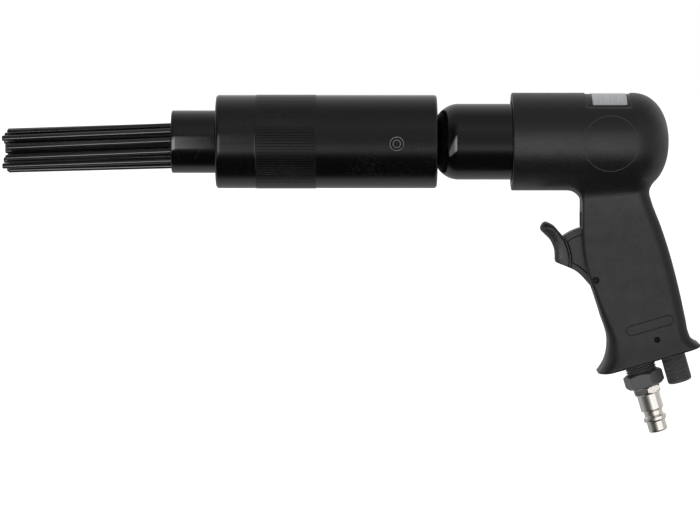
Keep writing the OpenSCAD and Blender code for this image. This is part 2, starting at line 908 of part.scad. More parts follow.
// [back, up] from the trigger pin: outer edge of the blade, then its inner edge
blade_front = [
    [-20.8, 8.9],
    [-21.4, 9.8],
    [-21.3, 12.6],
    [-21.7, 16.3],
    [-23.8, 20.7],
    [-26.9, 23.7],
    [-29, 26.2],
    [-28.5, 28.6],
    [-26.8, 30.8]
];
blade_back = [
    [-26, 30.5],
    [-22.2, 28.6],
    [-19.8, 26.2],
    [-15.5, 20.7],
    [-13.4, 15.1],
    [-12.7, 10.8],
    [-12.8, 6.4]
];
rim_low = [[-18.6, 8.1], [-14.4, 6.5], [-10, 4.2], [-6.8, 1.4], [-4.6, -1]];

module web_outline() {
    hub_r = trigger_pin_d / 2 + 2.6;
    intersection() {
        circle(r = web_r);
        union() {
            polygon(concat(rim_low, [
                [-hub_r, -1],
                [web_back * cos(grip_slope), web_back * sin(grip_slope)],
                [web_back * cos(grip_slope) - web_r * sin(grip_slope), web_r],
                [-20.5, web_r],
                [-20.5, 12]
            ]));
            circle(r = hub_r);
        }
    }
}

module trigger() {
    hub_r = trigger_pin_d / 2 + 2.6;
    color(black_steel)
    translate([pin_x, 0, pin_z])
    difference() {
        union() {
            difference() {
                plate_y(web_w) web_outline();
                for (side = [-1, 1])
                    translate([0, side * web_w / 2, 0])
                    plate_y(2 * web_hollow)
                    difference() {
                        offset(delta = -2) web_outline();
                        circle(r = hub_r);
                    }
            }
            plate_y(blade_w) polygon(concat(blade_front, blade_back, rim_low_to_blade()));
        }
        rotate([90, 0, 0])
            cylinder(h = 2 * blade_w, r = trigger_pin_d / 2 + slide_gap, center = true);
    }
}

function rim_low_to_blade() = [[-14.4, 6.5], [-18.6, 8.1]];

module trigger_pin() {
    length = 2 * (grip_half(0, 0) - 0.5);
    color(black_steel)
    grip_frame()
    rotate([90, 0, 0])
    cylinder(h = length, r = trigger_pin_d / 2, center = true);
}

module throttle_bush() {
    r = throttle_bore / 2;
    guide_r = throttle_stem_d / 2 + slide_gap;
    color(brass)
    throttle_frame()
    difference() {
        translate([0, 0, bush_s])
        rotate_extrude()
        polygon([
            [guide_r, 0],
            [r, 0],
            [r, 2],
            [r - 1, 2],
            [r - 1, bush_len - 2],
            [r, bush_len - 2],
            [r, bush_len],
            [guide_r, bush_len]
        ]);
        translate([0, 0, bush_s + bush_len / 2])
            rotate([90, 0, 0])
            cylinder(h = 2 * r, r = 1.4, center = true);
    }
}

module throttle_valve() {
    r = throttle_stem_d / 2;
    head_r = throttle_head_d / 2;
    color(brass)
    throttle_frame()
    rotate_extrude()
    polygon(concat(
        // the nose is a half ball, so that the tilting web only touches it near its middle
        arc(0, throttle_tip + r, r, -90, 0, 8),
        [
            [r, head_s],
            [head_r, head_s],
            [head_r, head_s + head_len],
            [0, head_s + head_len]
        ]
    ));
}

module throttle_seal() {
    section = seal_section / 2;
    color(rubber_black)
    throttle_frame()
    translate([0, 0, bush_s + bush_len + section + 0.05])
    rotate_extrude()
    translate([throttle_stem_d / 2 + section + 0.1, 0])
    circle(r = section, $fn = 20);
}

module throttle_spring() {
    start = head_s + head_len + 0.1;
    wire_r = 0.4;
    color(bright_steel)
    throttle_frame()
    translate([0, 0, start])
    coil(3.4, wire_r, 4, throttle_end - start - 0.1, 6, 14);
}

// Air fittings at the foot

module hexagon(key, height) {
    cylinder(h = height, d = key / cos(30), $fn = 6);
}

module inlet_bush() {
    // the bare thread is drawn as a row of shallow ring grooves
    turns = floor((inlet_neck + 0.5) / inlet_pitch);
    groove = 0.55;
    thread_wave = [
        for (k = [0:turns - 1])
            let (z = -inlet_neck + (k + 0.5) * inlet_pitch)
            each [
                [inlet_r, z - 0.35 * inlet_pitch],
                [inlet_r - groove, z],
                [inlet_r, z + 0.35 * inlet_pitch]
            ]
    ];
    color(black_steel)
    foot_frame(inlet_back)
    difference() {
        union() {
            rotate_extrude()
            polygon(concat(
                [[4.6, nut_low + 2], [inlet_r, nut_low + 2]],
                thread_wave,
                [[inlet_r, inlet_depth], [4.6, inlet_depth]]
            ));
            intersection() {
                translate([0, 0, nut_low]) hexagon(inlet_key, inlet_hex);
                rotate_extrude()
                polygon([
                    [0, nut_low],
                    [inlet_key / 2 - 0.4, nut_low],
                    [inlet_key / 2 + 1.6, nut_low + 1.2],
                    [inlet_key / 2 + 1.6, -inlet_neck - 1.2],
                    [inlet_key / 2 - 0.4, -inlet_neck],
                    [0, -inlet_neck]
                ]);
            }
        }
        translate([0, 0, nut_low - past])
            cylinder(h = inlet_depth - nut_low + 2 * past, r = 4.6);
        translate([0, 0, nut_low - past])
            cylinder(h = plug_thread_len + 1 + past, r = plug_thread_d / 2 + fixed_gap);
    }
}

module inlet_strainer() {
    color(bright_steel)
    foot_frame(inlet_back)
    translate([0, 0, inlet_depth])
    rotate_extrude()
    polygon([[3.8, 0], [6.2, 0], [6.2, 1], [4.4, 1], [4.4, 9.4], [0, 9.4], [0, 8.8], [3.8, 8.8]]);
}

module air_plug() {
    body_r = plug_body_d / 2;
    nose = plug_nose_d / 2;
    hex_low = nut_low - plug_hex;
    body_low = hex_low - plug_body;
    groove_low = body_low - plug_groove;
    collar_low = groove_low - plug_collar;
    tip = collar_low - plug_nose;
    color(bright_steel)
    foot_frame(inlet_back)
    difference() {
        union() {
            rotate_extrude()
            polygon([
                [plug_bore / 2, tip],
                [nose - 0.6, tip],
                [nose, tip + 0.6],
                [nose, collar_low - 1],
                [body_r, collar_low],
                [body_r, groove_low],
                [nose, groove_low + 0.8],
                [nose, body_low - 1.4],
                [body_r, body_low],
                [body_r, hex_low + 1],
                [plug_thread_d / 2, hex_low + 1],
                [plug_thread_d / 2, nut_low + plug_thread_len],
                [plug_bore / 2, nut_low + plug_thread_len]
            ]);
            intersection() {
                translate([0, 0, hex_low]) hexagon(plug_key, plug_hex);
                rotate_extrude()
                polygon([
                    [0, hex_low],
                    [plug_key / 2 - 0.2, hex_low],
                    [plug_key / 2 + 1.2, hex_low + 0.8],
                    [plug_key / 2 + 1.2, nut_low],
                    [0, nut_low]
                ]);
            }
        }
        translate([0, 0, tip - past])
            cylinder(h = nut_low + plug_thread_len - tip + 2 * past, r = plug_bore / 2);
    }
}

o_ring_z = 5;

module regulator() {
    knob_r = knob_d / 2;
    shoulder = -0.4;
    low = shoulder - knob_len;
    edge = 1.4;
    groove_r = cross_pin_off - cross_pin_d / 2 - 0.3;
    groove_half = cross_pin_d / 2 + 0.3;
    color(black_steel)
    foot_frame(regulator_s)
    difference() {
        rotate_extrude()
        polygon(concat(
            [[0, low]],
            arc(knob_r - edge, low + edge, edge, -90, 0, 5),
            [
                [knob_r, shoulder],
                [regulator_r, shoulder],
                [regulator_r, o_ring_z - 1.1],
                [regulator_r - 1.3, o_ring_z - 1.1],
                [regulator_r - 1.3, o_ring_z + 1.1],
                [regulator_r, o_ring_z + 1.1],
                [regulator_r, cross_pin_rise - groove_half],
                [groove_r, cross_pin_rise - groove_half],
                [groove_r, cross_pin_rise + groove_half],
                [regulator_r, cross_pin_rise + groove_half],
                [regulator_r, regulator_depth],
                [0, regulator_depth]
            ]
        ));
        translate([0, 0, 17.5]) cylinder(h = regulator_depth, r = 2.8);
        translate([0, 0, 20]) rotate([0, -90, 0]) cylinder(h = knob_d, r = 2.4);
    }
}

module regulator_o_ring() {
    section = 0.6;
    color(rubber_black)
    foot_frame(regulator_s)
    translate([0, 0, o_ring_z])
    rotate_extrude()
    translate([regulator_r - 1.3 + section + 0.05, 0])
    circle(r = section, $fn = 20);
}

module regulator_pin() {
    s = regulator_s - cross_pin_off;
    z = cross_pin_rise - grip_below;
    color(black_steel)
    grip_frame()
    translate([s, 0, z])
    rotate([90, 0, 0])
    cylinder(h = 2 * (grip_half(s, z) - 0.5), r = cross_pin_d / 2, center = true);
}

nose_tube();
sleeve();
sleeve_set_screw();
needle_holder();
holder_spring();
anvil();
anvil_buffer();
barrel_adaptor();
barrel();
barrel_o_ring();
piston();
valve_case_front();
valve_disc();
valve_case_rear();
valve_dowel();
rear_cushion();
handle_housing();
top_plate();
trigger();
trigger_pin();
throttle_bush();
throttle_valve();
throttle_seal();
throttle_spring();
inlet_bush();
inlet_strainer();
air_plug();
regulator();
regulator_o_ring();
regulator_pin();
for (i = [0:needle_count - 1])
    needle(i);
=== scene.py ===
import functools
import math
import bpy
import numpy as np
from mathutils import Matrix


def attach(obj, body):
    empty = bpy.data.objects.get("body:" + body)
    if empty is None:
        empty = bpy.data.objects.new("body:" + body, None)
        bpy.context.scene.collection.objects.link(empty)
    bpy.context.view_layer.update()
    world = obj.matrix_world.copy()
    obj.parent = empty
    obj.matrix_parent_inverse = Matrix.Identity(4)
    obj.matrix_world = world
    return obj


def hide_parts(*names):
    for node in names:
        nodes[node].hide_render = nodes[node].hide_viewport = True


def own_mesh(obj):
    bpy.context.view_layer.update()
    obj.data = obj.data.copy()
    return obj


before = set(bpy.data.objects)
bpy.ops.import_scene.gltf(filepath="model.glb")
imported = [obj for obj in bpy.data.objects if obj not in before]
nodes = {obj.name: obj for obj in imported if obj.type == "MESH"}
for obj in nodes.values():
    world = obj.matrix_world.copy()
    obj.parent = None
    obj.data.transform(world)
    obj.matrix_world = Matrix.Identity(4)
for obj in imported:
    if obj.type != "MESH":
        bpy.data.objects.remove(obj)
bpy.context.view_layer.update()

linkObject = bpy.context.scene.collection.objects.link
turn = 2 * math.pi
join = np.concatenate
alongX, alongY, alongZ = np.eye(3)

# shapes are in millimetres and meshes in metres; X runs back along the barrel from the front of the nose wall
toMetres = 0.001
layout = dict(noseReach=23, sleeveLength=118.2, barrelReach=39.9, housingLength=84.2, screwBack=21.8)
sleeveFront = layout["noseReach"]
sleeveBack = sleeveFront + layout["sleeveLength"]
housingFront = sleeveBack + layout["barrelReach"]
housingBack = housingFront + layout["housingLength"]
screwX = sleeveBack - layout["screwBack"]

# the grip leans back, so its own axes start at the trigger pin: back across the grip, and up along it
grip = dict(lean=16.3, pinBack=44.8, pinHeight=-73.5, foot=-50.5, inlet=10.8, knob=29.3)
lean = math.radians(grip["lean"])
pinPlace = np.array([housingFront + grip["pinBack"], 0, grip["pinHeight"]])
gripBack = np.array([math.cos(lean), 0, math.sin(lean)])
gripUp = np.array([-math.sin(lean), 0, math.cos(lean)])
inletPlace, knobPlace = (pinPlace + grip[name] * gripBack + grip["foot"] * gripUp for name in ("inlet", "knob"))


# smooth step from 0 at low to 1 at high: 3t^2 - 2t^3
def ease(low, high, value):
    t = np.clip((value - low) / (high - low), 0, 1)
    return t * t * (3 - 2 * t)


# cubic from a to b with the slopes slopeA and slopeB at its ends, t from 0 to 1
def cubic(a, b, slopeA, slopeB, t):
    u = 1 - t
    return a * (u * u * (1 + 2 * t)) + b * (t * t * (3 - 2 * t)) + t * u * (u * slopeA - t * slopeB)


# arrows drawn to the length 1
def unit(arrows):
    return arrows / np.maximum(np.linalg.norm(arrows, axis=-1, keepdims=True), 1e-9)


# two distances joined as an intersection whose edge has the radius r
def roundMax(a, b, r):
    return np.minimum(np.maximum(a, b), -r) + np.hypot(np.maximum(a + r, 0), np.maximum(b + r, 0))


# two distances joined as a union whose inner corner is filled to the radius r
def roundMin(a, b, r):
    return -roundMax(-a, -b, r)


# plain intersection and union of several distances
def within(*fields):
    return functools.reduce(np.maximum, fields)


def either(*fields):
    return functools.reduce(np.minimum, fields)


# radius of a hexagon of half width 1, turned by some degrees: 1 / cos of the angle from the nearest flat
def hexagon(angle, degrees):
    return 1 / np.cos((angle - math.radians(degrees)) % (math.pi / 3) - math.pi / 6)


# radius of a nut: the smaller of its hexagon and of the two cones that bevel its corners at the top and the foot
def nutRadius(nut, z, angle):
    (top, low), (topRadius, topSlope, lowRadius, lowSlope) = nut["hex"], nut["bevel"]
    bevel = np.minimum(topRadius + (top - z) * topSlope, lowRadius + (z - low) * lowSlope)
    return np.minimum(nut["key"] * hexagon(angle, nut["turned"]), bevel)


# rows of [along, radius, rounding]: each corner gives way to an arc of that rounding that touches both its sides
def roundedPath(rows, steps=6, closed=True):
    places, radii = np.array(rows, float)[:, :2], np.array(rows, float)[:, 2]
    before, after = np.roll(places, 1, 0), np.roll(places, -1, 0)
    if not closed:
        before[0], after[-1] = 2 * places[0] - places[1], 2 * places[-1] - places[-2]
    toBefore, toAfter = unit(before - places), unit(after - places)
    half = np.arccos(np.clip((toBefore * toAfter).sum(1), -0.99999, 0.99999)) / 2
    centre = places + unit(toBefore + toAfter) * (radii / np.sin(half))[:, None]
    start, end = (places + side * (radii / np.tan(half))[:, None] - centre for side in (toBefore, toAfter))
    first = np.arctan2(start[:, 1], start[:, 0])
    sweep = (np.arctan2(end[:, 1], end[:, 0]) - first + math.pi) % turn - math.pi
    angles = first[:, None] + sweep[:, None] * np.linspace(0, 1, steps + 1)
    arcs = centre[:, None] + radii[:, None, None] * np.stack([np.cos(angles), np.sin(angles)], -1)
    if closed:
        return arcs.reshape(-1, 2)
    return join([places[:1], arcs[1:-1].reshape(-1, 2), places[-1:]])


# long sides of a path are cut into parts no longer than the step
def filledPath(path, step, closed=True):
    ends = join([path, path[:1]]) if closed else path
    count = np.maximum(np.ceil(np.linalg.norm(np.diff(ends, axis=0), axis=1) / step), 1).astype(int)
    which = np.repeat(np.arange(len(count)), count)
    part = (np.arange(len(which)) - np.repeat(np.cumsum(count) - count, count)) / count[which]
    filled = ends[which] * (1 - part)[:, None] + ends[which + 1] * part[:, None]
    return filled if closed else join([filled, ends[-1:]])


# a smooth row of places through the given ones, each side drawn by the slopes at its ends
def smoothRow(places, count=8):
    places = np.asarray(places, float)
    slope = np.gradient(places, axis=0)
    t = np.linspace(0, 1, count, endpoint=False)[None, :, None]
    row = cubic(places[:-1, None], places[1:, None], slope[:-1, None], slope[1:, None], t)
    return join([row.reshape(-1, 2), places[-1:]])


# a grid of places (rows, columns, 3) becomes quads; its end rows are joined, left open or drawn together to poles
def skinGrid(grid, ends="joined"):
    rows, columns = grid.shape[:2]
    number = np.arange(rows * columns).reshape(rows, columns)
    if ends == "poles":
        number[0], number[-1] = number[0, 0], number[-1, 0]
    number = join([number, number[:, :1]], 1)
    if ends == "joined":
        number = join([number, number[:1]], 0)
    quads = np.stack([number[:-1, :-1], number[:-1, 1:], number[1:, 1:], number[1:, :-1]], -1).reshape(-1, 4)
    first, last = quads[:, 0] == quads[:, 1], quads[:, 2] == quads[:, 3]
    tris = join([quads[first][:, [0, 2, 3]], quads[last][:, [0, 1, 2]]])
    return grid.reshape(-1, 3), quads[~(first | last)], tris


# a skin becomes a mesh, turned right side out by the sign of its volume; the piece rides on its body, stands for
# its node and is lit by its softbox
def makePiece(name, node, skin, finish, softbox=None, sharp=38, body="tool"):
    places, quads, tris = skin
    used, corners = np.unique(join([quads.ravel(), tris.ravel()]), return_inverse=True)
    places = places[used] * toMetres
    quads, tris = corners[:quads.size].reshape(-1, 4), corners[quads.size:].reshape(-1, 3)
    halves = join([quads[:, [0, 1, 2]], quads[:, [0, 2, 3]], tris])
    a, b, c = places[halves.T]
    if np.einsum("ij,ij->i", a, np.cross(b, c)).sum() < 0:
        quads, tris = quads[:, ::-1], tris[:, ::-1]
    mesh = bpy.data.meshes.new(name)
    mesh.from_pydata(places.tolist(), [], quads.tolist() + tris.tolist(), shade_flat=False)
    mesh.set_sharp_from_angle(angle=math.radians(sharp))
    mesh.validate()
    mesh.materials.append(finish.made)
    piece = bpy.data.objects.new(name, mesh)
    linkObject(piece)
    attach(piece, body)
    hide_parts(node)
    if softbox:
        litBy[softbox].objects.link(piece)
    print(name, len(halves), "triangles")
    return piece


def roundAngles(count):
    return np.linspace(0, turn, count, endpoint=False)


# places at x along the barrel, at a radius and an angle round its axis
def roundBarrel(x, radius, angle):
    return np.stack(np.broadcast_arrays(x, radius * np.cos(angle), radius * np.sin(angle)), -1)


# a row of [along, radius] places turned about an axis: start + along * axis + radius * (cos * side + sin * other)
def turned(path, count, start=(0, 0, 0), axis=alongX, side=alongY, radius=None):
    other = np.cross(axis, side)
    angle = roundAngles(count)
    along, reach = path.T[..., None]
    reach = radius(along, reach, angle) if radius else reach * np.ones(count)
    return (np.asarray(start, float) + along[..., None] * axis
            + reach[..., None] * (np.cos(angle)[:, None] * side + np.sin(angle)[:, None] * other))


# grid lines from start on, each stretch to its end with a step of its own
def gradedLines(start, *stretches):
    lines = [[start]]
    for end, step in stretches:
        lines.append(np.linspace(start, end, max(1, round((end - start) / step)) + 1)[1:])
        start = end
    return join(lines)


# the zero level of a distance field on a grid: one place in each cell that the surface crosses, at the mean of
# its crossings, quads round each crossed grid line, and then a few steps down the slope onto the level itself
def skinField(field, axes, passes=3, probe=0.02, leastSlope=0.05, mostMove=0.4):
    value = field(*np.meshgrid(*axes, indexing="ij", sparse=True))
    size = np.array(value.shape)
    inside = value < 0
    count = np.zeros(size - 1, np.int8)
    corner = np.array(list(np.ndindex(2, 2, 2)))
    for i, j, k in corner:
        count += inside[i:size[0] - 1 + i, j:size[1] - 1 + j, k:size[2] - 1 + k]
    cell = np.argwhere((count > 0) & (count < 8))
    number = np.full(size - 1, -1, np.int64)
    number[tuple(cell.T)] = np.arange(len(cell))
    sample = value[tuple((cell[:, None] + corner).transpose(2, 0, 1))]
    total, hits = np.zeros((len(cell), 3)), np.zeros(len(cell))
    for p in range(8):
        for q in range(p + 1, 8):
            if abs(corner[p] - corner[q]).sum() == 1:
                crossed = (sample[:, p] < 0) != (sample[:, q] < 0)
                part = sample[:, p] / np.where(crossed, sample[:, p] - sample[:, q], 1)
                total += np.where(crossed[:, None], corner[p] + part[:, None] * (corner[q] - corner[p]), 0)
                hits += crossed
    lowCorner = np.stack([a[c] for a, c in zip(axes, cell.T)], 1)
    wide = np.stack([np.diff(a)[c] for a, c in zip(axes, cell.T)], 1)
    places = lowCorner + wide * (total / hits[:, None])
    quads = []
    for axis in range(3):
        u, v = (axis + 1) % 3, (axis + 2) % 3
        near, far = np.delete(inside, -1, axis), np.delete(inside, 0, axis)
        line = np.argwhere(near != far)
        line = line[(line[:, u] > 0) & (line[:, v] > 0) & (line[:, u] < size[u] - 1) & (line[:, v] < size[v] - 1)]
        goesOut = near[tuple(line.T)]
        du, dv = np.eye(3, dtype=int)[[u, v]]
        ring = np.stack([number[tuple((line - a * du - b * dv).T)]
                         for a, b in ((1, 1), (0, 1), (0, 0), (1, 0))], 1)
        quads.append(np.where(goesOut[:, None], ring, ring[:, ::-1]))
    for _ in range(passes):
        here = field(*places.T)
        slope = np.stack([field(*(places + probe * e).T) - field(*(places - probe * e).T) for e in np.eye(3)], 1)
        slope /= 2 * probe
        move = here[:, None] * slope / np.maximum((slope ** 2).sum(1), leastSlope)[:, None]
        places = places - np.clip(move, -mostMove * wide, mostMove * wide)
    return places, join(quads), np.zeros((0, 3), np.int64)


# a grey that is a touch cold
def grey(level):
    return (level, level, level * 1.03, 1)


# a node tree and short ways to add to it; what is given may be the socket of another node, a number or a colour,
# and a number for a colour is a grey
class nodeDesk:
    def __init__(self, tree):
        self.tree = tree

    def put(self, given, socket):
        if isinstance(given, bpy.types.NodeSocket):
            self.tree.links.new(given, socket)
        elif given is not None:
            socket.default_value = grey(given) if socket.type == "RGBA" and np.isscalar(given) else given

    # a new node, with its sockets filled in their order or by name
    def add(self, kind, given=(), **traits):
        node = self.tree.nodes.new("ShaderNode" + kind)
        for trait, value in traits.items():
            setattr(node, trait, value)
        for socket, value in given.items() if isinstance(given, dict) else enumerate(given):
            self.put(value, node.inputs[socket])
        return node

    def math(self, operation, *given):
        return self.add("Math", given, operation=operation).outputs["Value"]

    def product(self, *factors):
        return functools.reduce(functools.partial(self.math, "MULTIPLY"), factors)

    # sqrt(a^2 + b^2)
    def length(self, a, b):
        return self.math("SQRT", self.math("MULTIPLY_ADD", a, a, self.math("MULTIPLY", b, b)))

    # |a - b|
    def apart(self, a, b):
        return self.math("ABSOLUTE", self.math("SUBTRACT", a, b))

    # first where the share is 0, and second where it is 1
    def fade(self, share, first, second):
        return self.math("MULTIPLY_ADD", share, self.math("SUBTRACT", second, first), first)

    def span(self, value, fromLow, fromHigh, toLow=0, toHigh=1, smooth=False):
        kind = "SMOOTHSTEP" if smooth else "LINEAR"
        given = value, fromLow, fromHigh, toLow, toHigh
        return self.add("MapRange", given, interpolation_type=kind).outputs["Result"]


# finish of a metal or coating: a shader with colour, roughness and bump driven by grain on object coordinates
class surfaceFinish(nodeDesk):
    def __init__(self, name, metallic=0, specular=0.5):
        self.made = bpy.data.materials.new(name)
        self.made.use_nodes = True
        super().__init__(self.made.node_tree)
        self.shader = self.tree.nodes["Principled BSDF"]
        self.where = self.add("TexCoord").outputs["Object"]
        self.normal = None
        self.shade({"Metallic": metallic, "Specular IOR Level": specular})

    def shade(self, given):
        for socket, value in given.items():
            self.put(value, self.shader.inputs[socket])

    # grain that may be drawn out along an axis by its three scales, as a value from 0 to 1
    def grain(self, scales, detail=3, roughness=0.5):
        mapping = self.add("Mapping", {"Vector": self.where, "Scale": tuple(np.ones(3) * scales)})
        given = {"Vector": mapping.outputs["Vector"], "Scale": 1, "Detail": detail, "Roughness": roughness}
        return self.add("TexNoise", given).outputs["Fac"]

    # X, Y and Z in millimetres
    @functools.cached_property
    def places(self):
        return [self.math("MULTIPLY", axis, 1000) for axis in self.add("SeparateXYZ", [self.where]).outputs]

    # how far a place lies from the start in one direction, seen from the side
    def along(self, start, way):
        x, y, z = self.places
        up = self.math("MULTIPLY", self.math("SUBTRACT", z, start[2]), way[2])
        return self.math("MULTIPLY_ADD", self.math("SUBTRACT", x, start[0]), way[0], up)

    # distance from a circle round a place on the barrel's line, seen from the side
    def offCircle(self, middle, radius):
        x, y, z = self.places
        return self.apart(self.length(self.math("SUBTRACT", x, middle), z), radius)

    # 1 on a circle round the screw, fading out beside it: where a rim highlight is painted
    def rimHighlight(self, look):
        return self.span(self.offCircle(screwX, look["rim"]), *look["rimWidth"], 1, 0)

    # 1 on the tool's left side, and 0 on its right
    def nearSide(self):
        return self.math("LESS_THAN", self.places[1], 0)

    # specks of dust that lie thicker in patches
    def dust(self, patches, full, least, scale=2600, specks=(0.66, 0.76), start=0.42):
        share = self.span(self.grain(patches, 2), start, full, least)
        return self.product(self.span(self.grain(scale, 1), *specks), share)

    def between(self, share, first, second):
        return self.add("Mix", {0: share, 6: first, 7: second}, data_type="RGBA").outputs[2]

    # one bump on top of another, heights in metres
    def bump(self, height, distance, strength=1):
        given = {"Strength": strength, "Distance": distance, "Height": height, "Normal": self.normal}
        self.normal = self.add("Bump", given).outputs["Normal"]
        self.shade({"Normal": self.normal})


# camera on the photograph's line of sight, a little above the tool and far back
cameraLook = dict(target=(0.09467, 0, -0.065), rise=4.7, far=1.8, lens=172.2)
rise = math.radians(cameraLook["rise"])
camera = bpy.data.objects.new("camera", bpy.data.cameras.new("camera"))
camera.data.lens = cameraLook["lens"]
sight = np.array([0, math.cos(rise), -math.sin(rise)])
camera.location = cameraLook["target"] - cameraLook["far"] * sight
camera.rotation_euler = (math.pi / 2 - rise, 0, 0)
linkObject(camera)
bpy.context.scene.camera = camera
bpy.context.scene.view_settings.view_transform = "Standard"

# light by direction in degrees: climb goes round the barrel's line, 0 in front and 90 overhead, and aside leans
# from it to the left or right; behind the tool a white sweep, in front a grey room, darker below and at the left
studioLook = dict(
    climb=[(-180, 0.42), (-148, 0.42), (-122, 0.52), (-106, 0.47), (-100, 0.35), (-95, 0.19), (-91, 0.085),
           (-86, 0.04), (-73, 0.03), (-55, 0.033), (-45, 0.05), (-39, 0.075), (-34, 0.13), (-30, 0.24),
           (-27, 0.34), (-24, 0.48), (-21, 0.6), (-17, 0.68), (-13, 0.66), (-8, 0.54), (-2, 0.43), (5, 0.37),
           (14, 0.36), (26, 0.4), (40, 0.48), (52, 0.43), (68, 0.35), (82, 0.33), (92, 0.39), (106, 0.53),
           (128, 0.7), (180, 0.76)],
    aside=[(-90, 0.6), (-60, 0.5), (-44, 0.26), (-31, 0.15), (-18, 0.26), (-9, 0.64), (-4, 0.9), (0, 1),
           (7, 1.06), (20, 1.2), (64, 1.25), (90, 1.2)],
    front=[(-180, 0), (-90, 0), (-70, 1), (45, 1), (75, 0), (180, 0)],  # the climbs where aside counts
    ends=[(-90, 0.45), (-40, 0.45), (40, 0.6), (90, 0.6)],  # straight left and right
    endsFrom=(44, 78))  # where aside goes over into the ends
world = bpy.data.worlds.new("studio")
bpy.context.scene.world = world
world.use_nodes = True
world.node_tree.nodes.clear()
sky = nodeDesk(world.node_tree)


# levels of light by an angle in degrees
def skyRamp(value, stops):
    first, last = stops[0][0], stops[-1][0]
    ramp = sky.add("ValToRGB", [sky.span(value, first, last)])
    marks = ramp.color_ramp.elements
    while len(marks) < len(stops):
        marks.new(0.5)
    for mark, (place, level) in zip(marks, stops):
        mark.position = (place - first) / (last - first)
        mark.color = (level, level, level, 1)
    return ramp.outputs["Color"]


right, away, up = sky.add("SeparateXYZ", [sky.add("TexCoord").outputs["Generated"]]).outputs
toDegrees = 180 / math.pi
climb = sky.product(sky.math("ARCTAN2", up, sky.product(away, -1)), toDegrees)
aside = sky.product(sky.math("ARCSINE", right), toDegrees)
across = sky.fade(skyRamp(climb, studioLook["front"]), 1, skyRamp(aside, studioLook["aside"]))
room = sky.product(skyRamp(climb, studioLook["climb"]), across)
atEnds = sky.span(sky.math("ABSOLUTE", aside), *studioLook["endsFrom"])
room = sky.fade(atEnds, room, skyRamp(aside, studioLook["ends"]))
shown = sky.fade(sky.add("LightPath").outputs["Is Camera Ray"], room, 1)
sky.add("OutputWorld", sky.add("Background", [shown]).outputs)


# softboxes in front, each a panel between two swings and two climbs as seen from one place, lighting only its own
# pieces; an edge is two weights, across and up the panel, where their sum starts and ends to fade in, and from what
def softEdges(soft):
    return [(1, 0, 0, soft, 0), (1, 0, 1, 1 - soft, 0), (0, 1, 0, soft, 0), (0, 1, 1, 1 - soft, 0)]


windowLook = dict(
    swing=(-51, -1.3), climb=(-53.5, 21.7), level=4.6, start=(0, 0, 0), far=1.33,
    edges=[(1, 0, 0.7, 0.93, 0.36), (1, 0, 1, 0.935, 0), (-0.54, 1, -0.05, 0.05, 0), (-0.75, 1, 0.37, 0.14, 0)])
softboxes = dict(
    window=windowLook,
    sleeve=dict(windowLook, level=2.2),
    casting=dict(swing=(-52, 19), climb=(-30, 24), level=1.46, start=(0.23, 0, -0.05),
                 edges=softEdges(0.12) + [(1, 0, 0.62, 0.78, 0.5)]),
    lever=dict(swing=(-72, 16), climb=(-28, 18), level=3, start=(0.21, 0, -0.06),
               edges=softEdges(0.06) + [(1, 0, 0.8, 0.5, 0.45)]),
    plug=dict(swing=(-1, 66), climb=(-40, 28), level=0.6, start=(0.255, 0, -0.14), edges=softEdges(0.05)),
    needles=dict(swing=(-34, 24), climb=(-36, -12), level=4.8, start=(-0.04, 0, -0.003),
                 edges=softEdges(0.2)))


# strength of a lamp over its own face, from the product of its edges
def softenLamp(lamp, edges):
    lamp.use_nodes = True
    desk = nodeDesk(lamp.node_tree)
    face = desk.add("NewGeometry").outputs["Parametric"]
    falls = []
    for acrossWeight, upWeight, start, end, base in edges:
        weighed = desk.add("VectorMath", [face, (acrossWeight, upWeight, 0)], operation="DOT_PRODUCT")
        falls.append(desk.span(weighed.outputs["Value"], start, end, base, smooth=True))
    desk.put(desk.product(*falls), lamp.node_tree.nodes["Emission"].inputs["Strength"])


litBy = {}
for name, look in softboxes.items():
    far = look.get("far", 1.5)
    left, right, low, high = (far * math.tan(math.radians(v)) for v in look["swing"] + look["climb"])
    lamp = bpy.data.objects.new(name, bpy.data.lights.new(name, "AREA"))
    lamp.data.shape = "RECTANGLE"
    lamp.data.size, lamp.data.size_y = right - left, high - low
    lamp.data.energy = 4 * (right - left) * (high - low) * look["level"]  # so that the level is the radiance
    softenLamp(lamp.data, look["edges"])
    lamp.location = np.add(look["start"], ((left + right) / 2, -far, (low + high) / 2))
    lamp.rotation_euler = (math.pi / 2, 0, 0)
    lamp.visible_camera = False
    linkObject(lamp)
    litBy[name] = bpy.data.collections.new(name)
    lamp.light_linking.receiver_collection = litBy[name]
print("studio and camera ready")

# plain pale floor, one flat quad
floorLook = dict(half=6, drop=-0.175, pale=(0.9, 0.9, 0.9, 1), glow=0.75)
half, drop = floorLook["half"], floorLook["drop"]
floorMesh = bpy.data.meshes.new("floor")
corners = [(x * half, y * half, drop) for x, y in ((-1, -1), (1, -1), (1, 1), (-1, 1))]
floorMesh.from_pydata(corners, [], [(0, 1, 2, 3)])
floor = bpy.data.objects.new("floor", floorMesh)
linkObject(floor)
floorFinish = surfaceFinish("floorWhite")
floorFinish.shade({"Base Color": floorLook["pale"], "Roughness": 0.9, "Emission Color": (1, 1, 1, 1),
                   "Emission Strength": floorLook["glow"]})
floorMesh.materials.append(floorFinish.made)
floor.visible_glossy = False
